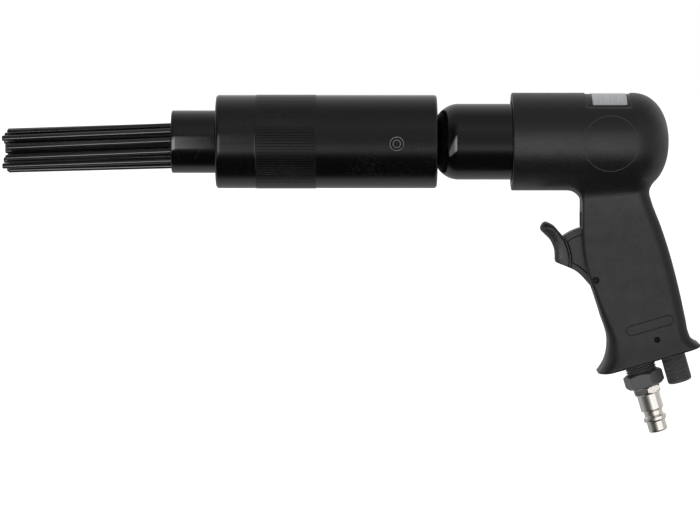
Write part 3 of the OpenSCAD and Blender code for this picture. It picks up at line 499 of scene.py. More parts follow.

# finishes with marks of their own, each made as f from its look

# casting: fine-grained satin coating, with a thin engraved circle on the round body and a long one on the grip; on
# the left side the circle is painted lighter as a painted highlight on its groove, and the long one darker as
# painted shade in its groove
look = dict(
    dark=0.003, light=0.008, roughness=(0.36, 0.42), circle=(51.6, 14.7), long=(21.1, -31.3, 10.45, 2.55),
    line=(0.08, 0.26), circleHighlight=0.045, longShade=0.001, grip=(-48, -28), gripRougher=0.07,
    bump=(0.0002, 0.48), lineDepth=0.0002)
casting = f = surfaceFinish("castingBlack")
fine, broad = f.grain(1700, 2, 0.6), f.grain(140)
middle, radius = look["circle"]
longBack, longUp, longHalf, longRadius = look["long"]
back, up = (f.along(pinPlace, way) for way in (gripBack, gripUp))
past = f.math("MAXIMUM", f.math("SUBTRACT", f.apart(back, longBack), longHalf), 0)
offLong = f.apart(f.length(past, f.math("SUBTRACT", up, longUp)), longRadius)
circleGrooveAndHighlight, longGrooveAndShade = (f.product(f.span(off, *look["line"], 1, 0, smooth=True), f.nearSide())
                    for off in (f.offCircle(housingFront + middle, radius), offLong))
coat = f.between(f.span(fine, 0.35, 0.7), look["dark"], look["light"])
# painted highlight: the engraved circle lighter than the coat, on the left side
coat = f.between(circleGrooveAndHighlight, coat, look["circleHighlight"])
# the grip is coarser than the body
onGrip = f.span(f.places[2], *look["grip"], look["gripRougher"], 0, smooth=True)
# painted shade: the long line darker than the coat in its groove, on the left side
f.shade({"Base Color": f.between(longGrooveAndShade, coat, look["longShade"]),
         "Roughness": f.math("ADD", onGrip, f.span(broad, 0.3, 0.7, *look["roughness"]))})
f.bump(fine, *look["bump"])
f.bump(f.product(f.math("ADD", circleGrooveAndHighlight, longGrooveAndShade), -1), look["lineDepth"])

# satin tubes: fine turning marks round the axis, a few lengthwise rubs, dust, and a lighter broken rim round the
# screw hole that is a painted highlight
look = dict(rim=3.5, rimWidth=(0.05, 0.32), rimHighlightColour=0.36, dark=0.001, dust=0.09, roughness=(0.13, 0.19),
            bump=(0.000008, 0.4))
satin = f = surfaceFinish("satinBlack")
rimHighlight = f.product(f.rimHighlight(look), f.nearSide(), f.span(f.grain(700, 2), 0.3, 0.5, 0.4))
dusted = f.between(f.dust(40, 0.66, 0.15), look["dark"], look["dust"])
# painted highlight: a lighter broken rim round the screw hole
f.shade({"Base Color": f.between(rimHighlight, dusted, look["rimHighlightColour"]),
         "Roughness": f.span(f.grain((14, 500, 500), 3, 0.6), 0.35, 0.75, *look["roughness"])})
f.bump(f.grain((2600, 6, 6), 2), *look["bump"])

# polished tubes: nearly mirror bright, with faint lengthwise rubs, dust, and one long slanting scratch on the nose
look = dict(scratch=((12.4, 0, -8), (18.9, 0, 2.8)), width=(0.02, 0.14), ragged=0.06, dark=0.001, dust=0.045,
            roughness=(0.05, 0.11), bump=(0.000004, 0.4))
gloss = f = surfaceFinish("glossBlack")
rub = f.grain((16, 900, 900), 4, 0.65)
start, end = np.array(look["scratch"])
way = unit(end - start)
along = f.along(start, way)
offScratch = f.math("ABSOLUTE", f.along(start, (way[2], 0, -way[0])))
offScratch = f.math("MULTIPLY_ADD", rub, look["ragged"], offScratch)
onScratch = f.product(
    f.span(offScratch, *look["width"], 1, 0), f.math("GREATER_THAN", along, 0),
    f.math("LESS_THAN", along, float(np.linalg.norm(end - start))), f.nearSide())
marks = f.math("MAXIMUM", f.dust(45, 0.64, 0.1), onScratch)
f.shade({"Base Color": f.between(marks, look["dark"], look["dust"]),
         "Roughness": f.span(rub, 0.4, 0.75, *look["roughness"])})
f.bump(f.grain((3200, 8, 8), 2), *look["bump"])

# screw: blackened, its socket edge painted lighter as a painted highlight
look = dict(rim=1.95, rimWidth=(0.05, 0.36), rimHighlightColour=0.2, dark=0.006, roughness=(0.34, 0.46))
socket = f = surfaceFinish("socketBlack")
grain = f.grain(900)
rimHighlight = f.product(f.rimHighlight(look), f.span(grain, 0.3, 0.5, 0.5))
f.shade({"Base Color": f.between(rimHighlight, look["dark"], look["rimHighlightColour"]),
         "Roughness": f.span(grain, 0.3, 0.7, *look["roughness"])})

# knurled steel under the grip: lighter on the crests than in the cuts, by the radius from the knob's axis, as wear
# together with painted highlight on the crests and painted shade in the cuts, and less so on the hexagon beside the
# knob
look = dict(crests=(6.2, 6.58), beside=(6.8, 7.4, 1, 0.4), dark=0.008, light=0.15, roughness=(0.28, 0.4),
            bump=(0.00002, 0.3))
knurlFinish = f = surfaceFinish("knurlSteel", specular=0.7)
grain = f.grain(800)
toAxis = f.length(f.along(knobPlace, gripBack), f.places[1])
crestWearAndHighlight = f.product(f.span(toAxis, *look["crests"]), f.span(grain, 0.3, 0.7, 0.7), f.span(toAxis, *look["beside"]))
f.shade({"Base Color": f.between(crestWearAndHighlight, look["dark"], look["light"]),
         "Roughness": f.span(grain, 0.3, 0.7, *look["roughness"])})
f.bump(grain, *look["bump"])


# plain finishes, each from one grain: roughness, one or two colours, and bump all follow it
def plainFinish(name, scales, roughness, colours, spread=(0.3, 0.7), bump=None, detail=3, **flat):
    finish = surfaceFinish(name, **flat)
    grain = finish.grain(scales, detail)
    colour = finish.between(finish.span(grain, *spread), *colours) if len(colours) == 2 else colours[0]
    finish.shade({"Base Color": colour, "Roughness": finish.span(grain, 0.3, 0.7, *roughness)})
    if bump:
        finish.bump(grain, *bump)
    return finish


# drawn needle wire has streaks along the wire, rubbed bare in a few places
wire = plainFinish("needleSteel", (12, 700, 700), (0.14, 0.22), (0.008, 0.035), (0.55, 0.8), detail=1,
                   specular=0.7)
oxide = plainFinish("oxideBlack", 900, (0.3, 0.42), (0.008, 0.018), bump=(0.00002, 0.3))
lever = plainFinish("leverBlack", 700, (0.38, 0.47), (0.009, 0.018), bump=(0.00003, 0.35))
nickel = plainFinish("nickelPlate", 1200, (0.15, 0.23), ((0.76, 0.73, 0.68, 1), (0.82, 0.785, 0.735, 1)),
                     bump=(0.000006, 0.3), metallic=1)
foil = plainFinish("foilSilver", (900, 60, 60), (0.3, 0.45), ((0.52, 0.53, 0.54, 1), (0.68, 0.69, 0.7, 1)),
                   metallic=0.7)
bright = plainFinish("turnedSteel", (1800, 300, 300), (0.24, 0.4), ((0.52, 0.52, 0.53, 1),), bump=(0.00001, 0.3),
                     metallic=1)
brassy = plainFinish("turnedBrass", 900, (0.24, 0.42), ((0.6, 0.43, 0.17, 1), (0.72, 0.54, 0.25, 1)), (0, 1),
                     metallic=1)
rubber = plainFinish("sealRubber", 1100, (0.52, 0.7), (0.02,), bump=(0.00003, 0.4), specular=0.4)
print("finishes ready")

# handle housing: round body with a full back, joined by a soft fillet to the grip, in one casting
housing = dict(
    radius=26.2, dome=20, fullness=2.2, frontEdge=0.6, fillet=([4, 38], [7.6, 4.8]), footEdge=0.6,
    toe=(-4, 0.019),  # the sole curls up in front of this place, by this much for each square millimetre
    crown=0.3, roll=(1.5, 15), rollHeight=(-30, -44), gripTop=62, backRound=6,
    frontRound=([-50, -42, -28, -12, 6, 60], [7.5, 7, 4.2, 2.2, 1.4, 1.2]),
    bores=((22, 17), (21, 45.8), (19, 63.8)),  # radius, and depth behind the front
    plate=(39.1, 63.2), plateAngle=43.75, plateDepth=0.6, plateCorner=1,
    slot=(14.5, 5.7, -5.5, 36), throttle=(17, 5.55, 13, 36.5), crossPin=(22.7, -39.7), pinHoles=(1.6, 1.35),
    inlets=(("inlet", 8.38, -36.5), ("inlet", 6.5, -25.5), ("knob", 6.3, -25.4)),  # radius, and top above the pin
    rims=dict(plate=0.25, bore=0.45, slot=0.5, hole=0.3))
# height above the trigger pin, then front, back and half width of the grip
gripRows = np.array([
    [-50.5, -13.2, 44, 16.1], [-49.38, -12.9, 44.5, 16.2], [-48.1, -11.25, 43.1, 15.98],
    [-44.9, -7.75, 40.8, 15.4], [-40.9, -5, 40.1, 14.74], [-34.5, -2.38, 40.6, 14.3], [-20, -2.1, 41.6, 14.1],
    [-8, -2.4, 42.1, 14], [5, -3, 42.2, 13.9], [18, -1.6, 41.7, 13.5], [30.3, 1.3, 40.6, 13.1],
    [41.3, 4.5, 40.6, 12.8], [50, 6.6, 40.6, 12.8], [66, 9.6, 40.6, 13]])
rowSlope = np.gradient(gripRows[:, 1:], gripRows[:, 0], axis=0)

# smooth curve through the rows, by cubic pieces that meet with one slope, kept as a table by height
rowHeights = np.linspace(-52, 66, 1200)
k = np.clip(np.searchsorted(gripRows[:, 0], rowHeights) - 1, 0, len(gripRows) - 2)
tall = np.diff(gripRows[:, :1], axis=0)[k]
part = np.clip((rowHeights[:, None] - gripRows[k, :1]) / tall, 0, 1)
rowTable = cubic(gripRows[k, 1:], gripRows[k + 1, 1:], tall * rowSlope[k], tall * rowSlope[k + 1], part).T


# distance to the grip: a rounded rectangle across it whose sides, front and back follow the rows
def gripField(s, y, h):
    front, back, side = (np.interp(h, rowHeights, column) for column in rowTable)
    mid, half = (front + back) / 2, (back - front) / 2
    fall, reach = housing["roll"]  # near the foot the side rolls gently in to the front
    side = side - housing["crown"] * ((s - mid) / half) ** 2
    side = side - fall * ease(*housing["rollHeight"], h) * np.clip((front + reach - s) / reach, 0, 1) ** 2
    r = np.where(s < mid, np.interp(h, *housing["frontRound"]), housing["backRound"])
    flat = roundMax(np.abs(s - mid) - half, np.abs(y) - side, r)
    toe, curl = housing["toe"]
    sole = grip["foot"] + curl * np.maximum(toe - s, 0) ** 2
    return np.maximum(roundMax(flat, sole - h, housing["footEdge"]), h - housing["gripTop"])


# distance to the round body: a tube radius in front, and a super-ellipse of revolution at the back
def bodyField(x, rho):
    p, radius, dome = housing["fullness"], housing["radius"], housing["dome"]
    t = np.maximum(x - (housingBack - dome), 0) / dome
    q = np.maximum(rho, 1e-6) / radius
    size = np.maximum((q ** p + t ** p) ** (1 / p), 1e-6)
    slope = size ** (1 - p) * np.hypot(q ** (p - 1) / radius, t ** (p - 1) / dome)
    return roundMax((size - 1) / slope, housingFront - x, housing["frontEdge"])


# body and grip joined, less the plate's place on top, the bores for barrel and valve, the slot and the round holes
def housingField(x, y, z):
    s, h = ((x - pinPlace[0]) * way[0] + (z - pinPlace[2]) * way[2] for way in (gripBack, gripUp))
    rho, radius, rims = np.hypot(y, z), housing["radius"], housing["rims"]
    solid = roundMin(bodyField(x, rho), gripField(s, y, h), np.interp(s, *housing["fillet"]))
    low, high = (housingFront + v for v in housing["plate"])
    pastArc = (np.abs(np.arctan2(y, z)) - math.radians(housing["plateAngle"])) * radius
    plan = roundMax(np.abs(x - (low + high) / 2) - (high - low) / 2, pastArc, housing["plateCorner"])
    solid = roundMax(solid, -np.maximum(radius - housing["plateDepth"] - rho, plan), rims["plate"])
    bore = either(*[np.maximum(rho - r, x - housingFront - end) for r, end in housing["bores"]])
    solid = roundMax(solid, -bore, rims["bore"])
    deep, wide, under, over = housing["slot"]
    solid = roundMax(solid, -within(s - deep, np.abs(y) - wide, under - h, h - over), rims["slot"])
    rise, throttleRadius, throttleStart, throttleEnd = housing["throttle"]
    (crossBack, crossUp), (pinHole, crossHole) = housing["crossPin"], housing["pinHoles"]
    holes = either(
        np.hypot(s, h) - pinHole, np.hypot(s - crossBack, h - crossUp) - crossHole,
        *[np.maximum(np.hypot(s - grip[name], y) - r, h - top) for name, r, top in housing["inlets"]],
        within(np.hypot(y, h - rise) - throttleRadius, throttleStart - s, s - throttleEnd))
    return roundMax(solid, -holes, rims["hole"])


# grid lines lie closer at the front rim, the plate's place, the pins and the slot
crossX, crossY, crossZ = pinPlace + housing["crossPin"][0] * gripBack + housing["crossPin"][1] * gripUp
pinZ = pinPlace[2]
housingLines = [
    gradedLines(housingFront - 0.9, (housingFront + 1.8, 0.4), (219, 0.95), (223.3, 0.6), (228.7, 0.4),
                (243.2, 0.95), (245.2, 0.5), (crossX - 2, 0.9), (crossX + 2, 0.4), (284.4, 0.85)),
    gradedLines(-27.3, (-15.2, 0.9), (-11.2, 0.5), (-6.6, 0.9), (-4.8, 0.45), (4.8, 0.95), (6.6, 0.45), (11.2, 0.9),
                (15.2, 0.5), (27.3, 0.9)),
    gradedLines(-127.4, (crossZ - 2, 0.75), (crossZ + 2, 0.4), (pinZ - 2.6, 0.9), (pinZ + 2.6, 0.4), (27.3, 0.85))]
housingSkin = skinField(housingField, housingLines)
makePiece("handleHousing", "handle_housing", housingSkin, casting, "casting", 60)

# nose tube: polished tube with a relief groove before its seat, and a flange inside the sleeve
noseTube = dict(columns=160, fill=2, rows=[  # place behind the sleeve front, radius, rounding
    [-23.8, 14.9, 0.3], [-23.8, 16.8, 0.8], [-0.3, 16.8, 0.1], [-0.3, 16.4, 0.1], [0.3, 16.4, 0.1],
    [0.3, 17.3, 0.1], [6, 17.3, 0.2], [6, 20.9, 0.4], [12, 20.9, 0.4], [12, 16.4, 0.3], [26, 16.4, 0.4],
    [26, 14.9, 0.3]])
nosePath = filledPath(roundedPath(np.array(noseTube["rows"]) + (sleeveFront, 0, 0)), noseTube["fill"])
noseGrid = turned(nosePath, noseTube["columns"])
makePiece("noseTube", "nose_tube", skinGrid(noseGrid), gloss, "window")

# sleeve: tube with a ridged hand band, and a round hole for the locking screw on its side
sleeve = dict(radius=25, bore=21, lip=17.35, lipEnd=6, edge=1.7, band=(21.3, 32.3), ridges=106, columns=6,
              ridgeHeight=0.16, screwHole=3.2, holeFloor=22.4, holeRim=0.3, holeRings=13, calmRings=(17, 22))
columns = sleeve["ridges"] * sleeve["columns"]
edge, sleeveRadius, sleeveBore, lip = (sleeve[name] for name in ("edge", "radius", "bore", "lip"))
cell = sleeveRadius * turn / columns
holeRings, (calmStart, calmEnd) = sleeve["holeRings"], sleeve["calmRings"]
bandFront = sleeveFront + sleeve["band"][0]
bandBack = bandFront + sleeve["band"][1]
edgeSteps = np.linspace(0, math.pi / 2, 9)
edgeIn, edgeOut = edge * (1 - np.cos(edgeSteps)), sleeveRadius - edge + edge * np.sin(edgeSteps)
frontEdge = np.stack([sleeveFront + edgeIn, edgeOut], 1)
backEdge = np.stack([sleeveBack - edgeIn, edgeOut], 1)[::-1]
flatX = join([  # rows lie closer at both ends of the band, and as close as the columns round the screw
    np.linspace(sleeveFront + 3, bandFront - 0.7, 5), [bandFront - 0.3, bandFront, bandFront + 0.5],
    np.linspace(bandFront + 1, bandBack - 1, 5), [bandBack - 0.5, bandBack, bandBack + 0.3],
    np.linspace(bandBack + 0.7, screwX - (calmEnd + 1) * cell, 8), screwX + cell * np.arange(-calmEnd, calmEnd + 1),
    np.linspace(screwX + (calmEnd + 1) * cell, sleeveBack - 3, 5)])
lipBack = sleeveFront + sleeve["lipEnd"]
sleevePath = join([
    [[sleeveFront, lip + 0.3], [sleeveFront, 20]], frontEdge,
    np.stack([flatX, np.full(len(flatX), sleeveRadius)], 1), backEdge,
    [[sleeveBack, sleeveBore + 1], [sleeveBack, sleeveBore + 0.3], [sleeveBack - 0.3, sleeveBore],
     [120, sleeveBore], [60, sleeveBore], [lipBack + 0.2, sleeveBore], [lipBack, sleeveBore - 0.2],
     [lipBack, lip + 0.2], [lipBack - 0.2, lip], [sleeveFront + 0.3, lip]]])
outer = sleevePath[:, 1] > sleeveRadius - 0.01


# ridges: flat tops with narrow grooves between them round the band, added to the outer radius
def ridgedRadius(x, r, angle):
    inBand = ease(bandFront - 0.1, bandFront + 0.4, x) * ease(bandBack + 0.1, bandBack - 0.4, x) * outer[:, None]
    fromGroove = np.abs((angle * sleeve["ridges"] / turn + 0.5) % 1 - 0.5) * sleeve["columns"]
    return r + inBand * sleeve["ridgeHeight"] * np.minimum(fromGroove, 1)


sleeveGrid = turned(sleevePath, columns, radius=ridgedRadius)
# square rings of the grid round the screw are drawn to circles, and those inside the hole sink into the wall
angle = roundAngles(columns)
u, v = sleevePath[:, 0][:, None] - screwX, (angle - math.pi) * sleeveRadius
ring, reach = np.maximum(np.abs(u), np.abs(v)), np.maximum(np.hypot(u, v), 1e-6)
rings = ring / cell
blend = ease(calmStart, calmEnd, rings)
inHole, onHoleRim = rings < holeRings + 0.5, rings < holeRings + 1.5
draw = ((1 - blend) * ring / reach + blend) * np.where(inHole, sleeve["screwHole"] / (holeRings * cell), 1)
sunk = np.where(inHole, sleeve["holeFloor"], sleeveRadius - np.where(onHoleRim, sleeve["holeRim"], 0))
sunkGrid = roundBarrel(screwX + u * draw, sunk, math.pi + v * draw / sleeveRadius)
near = outer[:, None] & (rings < calmEnd + 0.5)
sleeveGrid = np.where(near[..., None], sunkGrid, sleeveGrid)
makePiece("sleeve", "sleeve", skinGrid(sleeveGrid), satin, "sleeve", 14)

# locking screw: slug with a hexagon socket
screw = dict(top=24.6, columns=48, rows=[  # depth under the top, share of hexagon, size
    [2.5, 1, 0.02], [2.5, 1, 1.46], [2.3, 1, 1.5], [0.25, 1, 1.5], [0, 1, 1.66], [0, 0, 2], [0, 0, 2.85],
    [0.3, 0, 3.15], [5, 0, 3.15], [5.3, 0, 2.8], [5.3, 0, 0.02]])
depth, share, size = np.array(screw["rows"]).T[..., None]
angle = roundAngles(screw["columns"])
reach = size * (1 + share * (hexagon(angle, -30) - 1))
screwGrid = np.stack([screwX + reach * np.cos(angle), 0 * reach - screw["top"] + depth, reach * np.sin(angle)], -1)
makePiece("lockingScrew", "sleeve_set_screw", skinGrid(screwGrid, "poles"), socket)

# barrel: neck, rounded shoulder and polished tube, hollow for the piston
barrel = dict(
    radius=20.4, neck=13.5, shoulder=11.6, columns=200, fill=3, seat=17,
    seated=[[0, 20.4], [0, 20.95], [4, 20.95], [4, 18.95], [6.4, 18.95], [6.4, 20.95], [28.8, 20.95], [28.8, 9.5]],
    inside=[[7, 9.5], [7, 5.2], [-31, 5.2], [-31, 13.5]])  # place behind the sleeve back, radius
shoulderEnd, riseOut = sleeveBack + barrel["shoulder"], barrel["radius"] - barrel["neck"]
bend = (barrel["shoulder"] ** 2 + riseOut ** 2) / (2 * riseOut)
angle = np.linspace(-math.atan2(barrel["shoulder"], bend - riseOut), 0, 25)
barrelPath = join([
    np.stack([shoulderEnd + bend * np.sin(angle), barrel["radius"] - bend + bend * np.cos(angle)], 1),
    np.array(barrel["seated"]) + (housingFront + barrel["seat"], 0), np.array(barrel["inside"]) + (sleeveBack, 0)])
barrelGrid = turned(filledPath(barrelPath, barrel["fill"]), barrel["columns"])
makePiece("barrel", "barrel", skinGrid(barrelGrid), gloss, "window")

# needles: wires with an upset head, each on its own line from its hole in the holder to its place at the tip
needle = dict(
    count=19, columns=28, length=172.5, headLength=2.4, holderMiddle=66, halfPlate=3.5, headGap=0.2,
    rings=(5.6, 11.6), turns=(20, 7), twist=12, gather=0.9, droop=5, stagger=3.2, staggerTurns=(125, 340),
    head=[[0, 0.02], [0, 1.9], [0.1, 2.2], [0.3, 2.3], [2.1, 2.3], [2.3, 2.2], [2.4, 1.9], [2.4, 1.6], [2.5, 1.5],
          [30, 1.5], [80, 1.5], [130, 1.5]],  # place from the head's back, radius
    point=[[-0.5, 1.5], [-0.25, 1.43], [-0.1, 1.3], [0, 1.1], [0, 0.02]])  # place from the end, radius
index = np.arange(needle["count"])
ringRadius = np.where(index == 0, 0, np.where(index <= 6, *needle["rings"]))
innerTurn, outerTurn = needle["turns"]
ringTurn = np.radians(np.where(index <= 6, innerTurn + 60 * (index - 1), outerTurn + 30 * (index - 7)))
ringTurn[0] = 0
tipTurn, tipRadius = ringTurn + math.radians(needle["twist"]), ringRadius * needle["gather"]
step, first = needle["staggerTurns"]
stand = needle["stagger"] * (0.5 + 0.5 * np.sin(np.radians(step * index + first)))
hole, tip = roundBarrel(0, ringRadius, ringTurn), roundBarrel(0, tipRadius, tipTurn)
way = unit(tip - (needle["length"], 0, needle["droop"]) - hole)
behind = needle["halfPlate"] + needle["headGap"] + stand + needle["headLength"]
base = hole + (sleeveBack - needle["holderMiddle"], 0, 0) - way * behind[:, None]
needlePath = join([needle["head"], np.array(needle["point"]) + (needle["length"], 0)])
for k in index:
    wireGrid = turned(needlePath, needle["columns"], base[k], way[k], unit(np.cross(way[k], alongZ)))
    name = "needle_%02d" % (k + 1)
    makePiece(name.replace("_", "Wire_"), name, skinGrid(wireGrid, "poles"), wire, "needles",
              body=name)

# trigger: rounded finger blade with a thin lip along its back, on a web with raised rims round a sunk panel
trigger = dict(
    bladeHalf=6.6, lipHalf=7, lip=0.8, groove=(0.26, 0.7, 4.4), webHalf=5.2, panel=1, fingerRound=6.3,
    tipRound=2.4, backRound=1.2, underRound=0.6, sweep=28.4, upperRim=3.5, lowerRim=3, panelGap=0.4, webFront=2,
    webBack=6, hub=4.1, pinHole=1.6, grooveEdge=0.08, lipEdges=(0.2, 0.35), panelEdges=(0.2, 0.3), webEdge=0.45,
    webFillet=0.35, holeEdge=0.25, step=0.25, low=(-30.5, -7.6, -5.5), high=(7.3, 7.6, 32.3))
# rows of places back from the pin and above it: finger face upward, back of the blade downward, lower edge forward
fingerRow = smoothRow([[-20.6, 7.6], [-20.9, 8.9], [-21.3, 10.4], [-21.3, 12.6], [-21.8, 16.3], [-23.8, 20.7],
                       [-26.9, 23.9], [-29, 26.2], [-28.9, 28.6], [-26.9, 31]])
backRow = smoothRow([[-26.9, 31], [-22.2, 28.6], [-19.8, 26.2], [-15.5, 20.7], [-13.4, 15.1], [-12.7, 10.8],
                     [-12.8, 4.4]])
lowerRow = smoothRow([[-4.1, -1.6], [-6.8, 1.4], [-10, 4.2], [-14.4, 6.5], [-18.6, 8.1], [-22, 8.9]])


# signed distance to a row of places run on past both its ends: the nearest side, positive on the row's left hand
def sideField(row, s, h, runOn=40):
    s, h = np.broadcast_arrays(s, h)
    ends = runOn * unit(np.stack([row[0] - row[1], row[-1] - row[-2]]))
    row = join([row[:1] + ends[:1], row, row[-1:] + ends[1:]])
    start, side = row[:-1], np.diff(row, axis=0)
    ds, dh = s.ravel()[:, None] - start[:, 0], h.ravel()[:, None] - start[:, 1]
    t = np.clip((ds * side[:, 0] + dh * side[:, 1]) / (side ** 2).sum(1), 0, 1)
    gap = (ds - t * side[:, 0]) ** 2 + (dh - t * side[:, 1]) ** 2
    which, k = np.arange(len(gap)), np.argmin(gap, 1)
    left = side[k, 0] * dh[which, k] - side[k, 1] * ds[which, k]
    return (np.sqrt(gap[which, k]) * np.sign(left)).reshape(s.shape)


# blade and lip joined with the web, less a thin groove beside the lip, the panel on each side and the pin's hole
def triggerField(x, y, z):
    t = trigger
    (lipFront, lipSide), (panelFoot, panelRim) = t["lipEdges"], t["panelEdges"]
    s, h = x - pinPlace[0], z - pinPlace[2]
    aside, fromPin = np.abs(y), np.hypot(s, h)
    face, rear, under = (sideField(row, s, h) for row in (fingerRow, backRow, lowerRow))
    blade = roundMax(face, aside - t["bladeHalf"], t["fingerRound"])
    blade = roundMax(roundMax(blade, rear, t["backRound"]), under, t["underRound"])
    half, depth, inward = t["groove"]
    groove = within(np.abs(rear + t["lip"] + half) - half, -blade - depth, inward - aside)
    blade = roundMax(blade, -groove, t["grooveEdge"])
    lip = roundMax(roundMax(face, rear, t["tipRound"]), under, t["underRound"])
    lip = roundMax(roundMax(lip, -rear - t["lip"], lipFront), aside - t["lipHalf"], lipSide)
    hub = fromPin - t["hub"]
    inSlot = s * gripBack[0] + h * gripBack[2] - t["webBack"]
    web = np.minimum(within(under, inSlot, fromPin - t["sweep"], face + t["webFront"]), hub)
    panel = within(fromPin - t["sweep"] + t["upperRim"], under + t["lowerRim"], t["panelGap"] - rear, -hub)
    panel = roundMax(panel, t["webHalf"] - t["panel"] - aside, panelFoot)
    web = roundMax(roundMax(web, aside - t["webHalf"], t["webEdge"]), -panel, panelRim)
    solid = roundMin(np.minimum(blade, lip), web, t["webFillet"])
    return roundMax(solid, t["pinHole"] - fromPin, t["holeEdge"])


triggerLines = [gradedLines(start + low, (start + high, trigger["step"]))
                for start, low, high in zip(pinPlace, trigger["low"], trigger["high"])]
makePiece("trigger", "trigger", skinField(triggerField, triggerLines), lever, "lever", 60, "trigger")

# pins: rods with dished ends, a little under the surface of the grip; place back and up, radius, half length, node
pins = dict(triggerPin=(0, 0, 1.5, 13.2, "trigger_pin"),
            crossPin=(*housing["crossPin"], 1.25, 13.7, "regulator_pin"))
endShape = np.array([[0.7, 0.02], [0.6, 0.45], [0.2, 0.75], [0, 0.82], [0.03, 0.92], [0.2, 1]])  # depth, share
for name, (back, up, radius, half, node) in pins.items():
    end = endShape * (1, radius)
    path = join([end + (-half, 0), [[0, radius]], (end * (-1, 1) + (half, 0))[::-1]])
    grid = turned(path, 40, pinPlace + back * gripBack + up * gripUp, alongY, gripBack)
    makePiece(name, node, skinGrid(grid, "poles"), oxide)

# regulator: knob with a diamond knurl, where two slanting sets of ridges cross, and a plain stem above
knob = dict(
    radius=6.6, ridges=32, columns=8, slant=1, depth=0.5, flat=0.3, fadeTop=(-0.7, -1.2), fadeFoot=(-15.5, -14.9),
    onlyOver=6.4, steps=8, fill=0.2, plainFill=8,
    rows=[[23.6, 0.02, 0], [23.6, 6.2, 0.4], [-0.4, 6.2, 0.05], [-0.4, 6.6, 0.25], [-16.2, 6.6, 1.4],
          [-16.2, 0.02, 0]])
knobRows = filledPath(roundedPath(knob["rows"], knob["steps"], closed=False), knob["fill"], closed=False)
keep = (knobRows[:, 0] < 0) & (knobRows[:, 1] > 5)  # every row on the knurl, and one in eight elsewhere
keep |= np.arange(len(knobRows)) % knob["plainFill"] == 0
keep[0] = keep[-1] = True


def knobRadius(z, r, angle):
    slanted = z * knob["slant"] / knob["radius"]
    waves = [np.abs((((angle + way * slanted) * knob["ridges"] / turn) % 1) * 2 - 1) for way in (1, -1)]
    cut = np.maximum(np.maximum(*waves) - knob["flat"], 0) / (1 - knob["flat"])
    on = ease(*knob["fadeTop"], z) * ease(*knob["fadeFoot"], z) * (r > knob["onlyOver"])
    return r - on * knob["depth"] * cut


knobGrid = turned(knobRows[keep], knob["ridges"] * knob["columns"], knobPlace, gripUp, gripBack, knobRadius)
makePiece("regulatorKnob", "regulator", skinGrid(knobGrid, "poles"), knurlFinish, "casting",
          body="regulator")

# inlet bush: helical thread down to a hexagon with bevelled corners
bush = dict(
    thread=8.33, depth=0.75, pitch=1.34, threadRows=(13.9, -5.25, -0.14), threadTop=13.5, wave=(1.25, 0.12),
    top=14, hex=(-5.3, -13.3), bevel=(8.9, 1.73, 9, 1.2), key=9.5, turned=-13, bore=5.95, columns=180,
    hexMark=20, hexRows=((-5.35, -7.2, 12), (-9.2, -11.2, 2), (-11.4, -13.3, 12)))
(neck, low), bore = bush["hex"], bush["bore"]
threadZ = np.arange(*bush["threadRows"])
hexZ = join([np.linspace(*row) for row in bush["hexRows"]])
bushRows = np.stack([
    join([[bush["top"]], threadZ, [neck, neck], hexZ, [low, -13.1, 0, 13.8]]),
    join([[7.2], np.full(len(threadZ), bush["thread"]), [8, 8.7], np.full(len(hexZ), bush["hexMark"]),
                    [6.2, bore, bore, bore]])], 1)


# thread: a wave of z and angle with flat tops and roots, cut from the radius
def bushRadius(z, r, angle):
    wave = np.abs(((z / bush["pitch"] - angle / turn) % 1) * 2 - 1)
    steep, root = bush["wave"]
    thread = r - bush["depth"] * np.clip(wave * steep - root, 0, 1)
    onThread = (r == bush["thread"]) & (z < bush["threadTop"])
    return np.where(r == bush["hexMark"], nutRadius(bush, z, angle), np.where(onThread, thread, r))


bushGrid = turned(bushRows, bush["columns"], inletPlace, gripUp, gripBack, bushRadius)
makePiece("inletBush", "inlet_bush", skinGrid(bushGrid), knurlFinish, "casting", 25)

# quick plug: bevelled hexagon, body, catch groove, collar and rounded nose, bored right through
plug = dict(
    key=7, turned=30.3, hex=(-13.3, -17.7), bevel=(6.8, 1.4, 6.6, 1), hexOver=6.5, columns=180, fill=0.45,
    rows=[[-5.3, 3.6, 0.2], [-5.3, 5.9, 0.4], [-13.3, 5.9, 0.1], [-13.3, 6.9, 0.1], [-17.7, 6.9, 0.1],
          [-17.7, 6.15, 0.15], [-26.2, 6.15, 0.6], [-27.1, 5, 0.5], [-29.6, 5, 0.4], [-30.3, 6.15, 0.7],
          [-32.3, 6.15, 0.8], [-32.9, 5.05, 0.4], [-38.8, 5.05, 1.3], [-38.8, 3.6, 0.3]])


def plugRadius(z, r, angle):
    return np.where(r > plug["hexOver"], nutRadius(plug, z, angle), r)


plugPath = filledPath(roundedPath(plug["rows"]), plug["fill"])
plugGrid = turned(plugPath, plug["columns"], inletPlace, gripUp, gripBack, plugRadius)
makePiece("airPlug", "air_plug", skinGrid(plugGrid), nickel, "plug", 28)

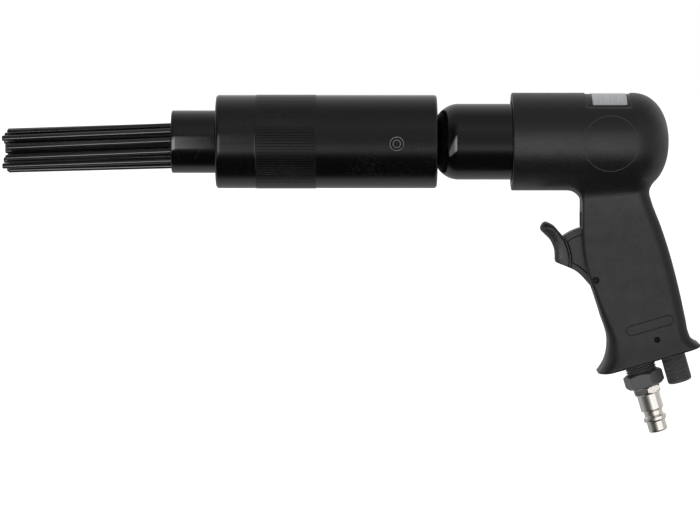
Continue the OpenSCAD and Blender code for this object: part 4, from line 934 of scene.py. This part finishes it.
# blank plate on top: a thin curved sheet with rounded corners, bent round the housing
plate = dict(x=(42.5, 60.8), angle=38.5, radii=(25.9, 25.62), corner=0.3, grid=(61, 25))
high = plate["radii"][0]
plateAcross, plateAlong = np.meshgrid(*[np.linspace(-1, 1, count) for count in plate["grid"]], indexing="ij")
halfLong, halfWide = (plate["x"][1] - plate["x"][0]) / 2, math.radians(plate["angle"]) * high
intoCorner = np.clip((np.abs(plateAlong) * halfLong - halfLong) / plate["corner"] + 1, 0, 1)
inset = plate["corner"] * (1 - np.sqrt(1 - intoCorner ** 2))
bent = plateAcross * (halfWide - inset) / high
plateX = housingFront + sum(plate["x"]) / 2 + plateAlong * halfLong
outside, inside = (np.stack([plateX, r * np.sin(bent), r * np.cos(bent)], -1) for r in plate["radii"])
places, quads, tris = skinGrid(join([outside, inside[:, ::-1]], 1), "open")
across, long = plate["grid"]
endRow = np.arange(long)
for first in (0, (across - 1) * 2 * long):  # the two long edges are closed with quads between the skins
    a, b = first + endRow, first + 2 * long - 1 - endRow
    closing = np.stack([a[:-1], a[1:], b[1:], b[:-1]], 1)
    quads = join([quads, closing[:, ::1 if first else -1]])
makePiece("topPlate", "top_plate", (places, quads, tris), foil, "casting")

# springs: a round wire carried along a helix
springs = dict(
    holderSpring=dict(
        node="holder_spring", joint="holder_stroke", travel=8, held=0,
        coil=dict(place=np.array([35.1, 0, 0]), axis=alongX, side=-alongZ, length=36.5, radius=18.9, wire=1.5,
                  turns=6)),
    throttleSpring=dict(
        node="throttle_spring", joint="trigger_squeeze", travel=4.43, held=9.3,
        coil=dict(place=pinPlace + 27.1 * gripBack + 17 * gripUp, axis=gripBack, side=-gripUp, length=9.3,
                  radius=3.4, wire=0.4, turns=4)))


# place + along * axis + out * (cos * side + sin * other), with the wire's circle turned square to the helix
def coilGrid(place, axis, side, length, radius, wire, turns, perTurn=24, columns=12):
    rise = length - 2 * wire
    slope = math.atan2(rise, turn * turns * radius)
    other = np.cross(axis, side)
    part = np.linspace(0, 1, turns * perTurn + 1)
    part = join([part[:1], part, part[-1:]])[:, None]
    size = np.full(part.shape, wire)
    size[[0, -1]] = 0.001
    circle = roundAngles(columns)
    out, up = radius + size * np.cos(circle), size * np.sin(circle)
    cos, sin = np.cos(turn * turns * part)[..., None], np.sin(turn * turns * part)[..., None]
    along = wire + rise * part + up * math.cos(slope)
    return (place + along[..., None] * axis + out[..., None] * (cos * side + sin * other)
            + (up * math.sin(slope))[..., None] * (sin * side - cos * other))


for name, s in springs.items():
    coil = s["coil"]
    piece = makePiece(name, s["node"], skinGrid(coilGrid(**coil), "poles"), bright)
    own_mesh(piece)

# pieces inside keep their solids and get the finish of their metal or rubber
inner = [
    (bright, "needle_holder anvil piston valve_case_front valve_case_rear valve_disc valve_dowel inlet_strainer "
             "throttle_valve"),
    (brassy, "throttle_bush"), (oxide, "barrel_adaptor"),
    (rubber, "anvil_buffer barrel_o_ring rear_cushion throttle_seal regulator_o_ring"),
]
for finish, names in inner:
    for name in names.split():
        nodes[name].data.materials.clear()
        nodes[name].data.materials.append(finish.made)
print("inner pieces finished")
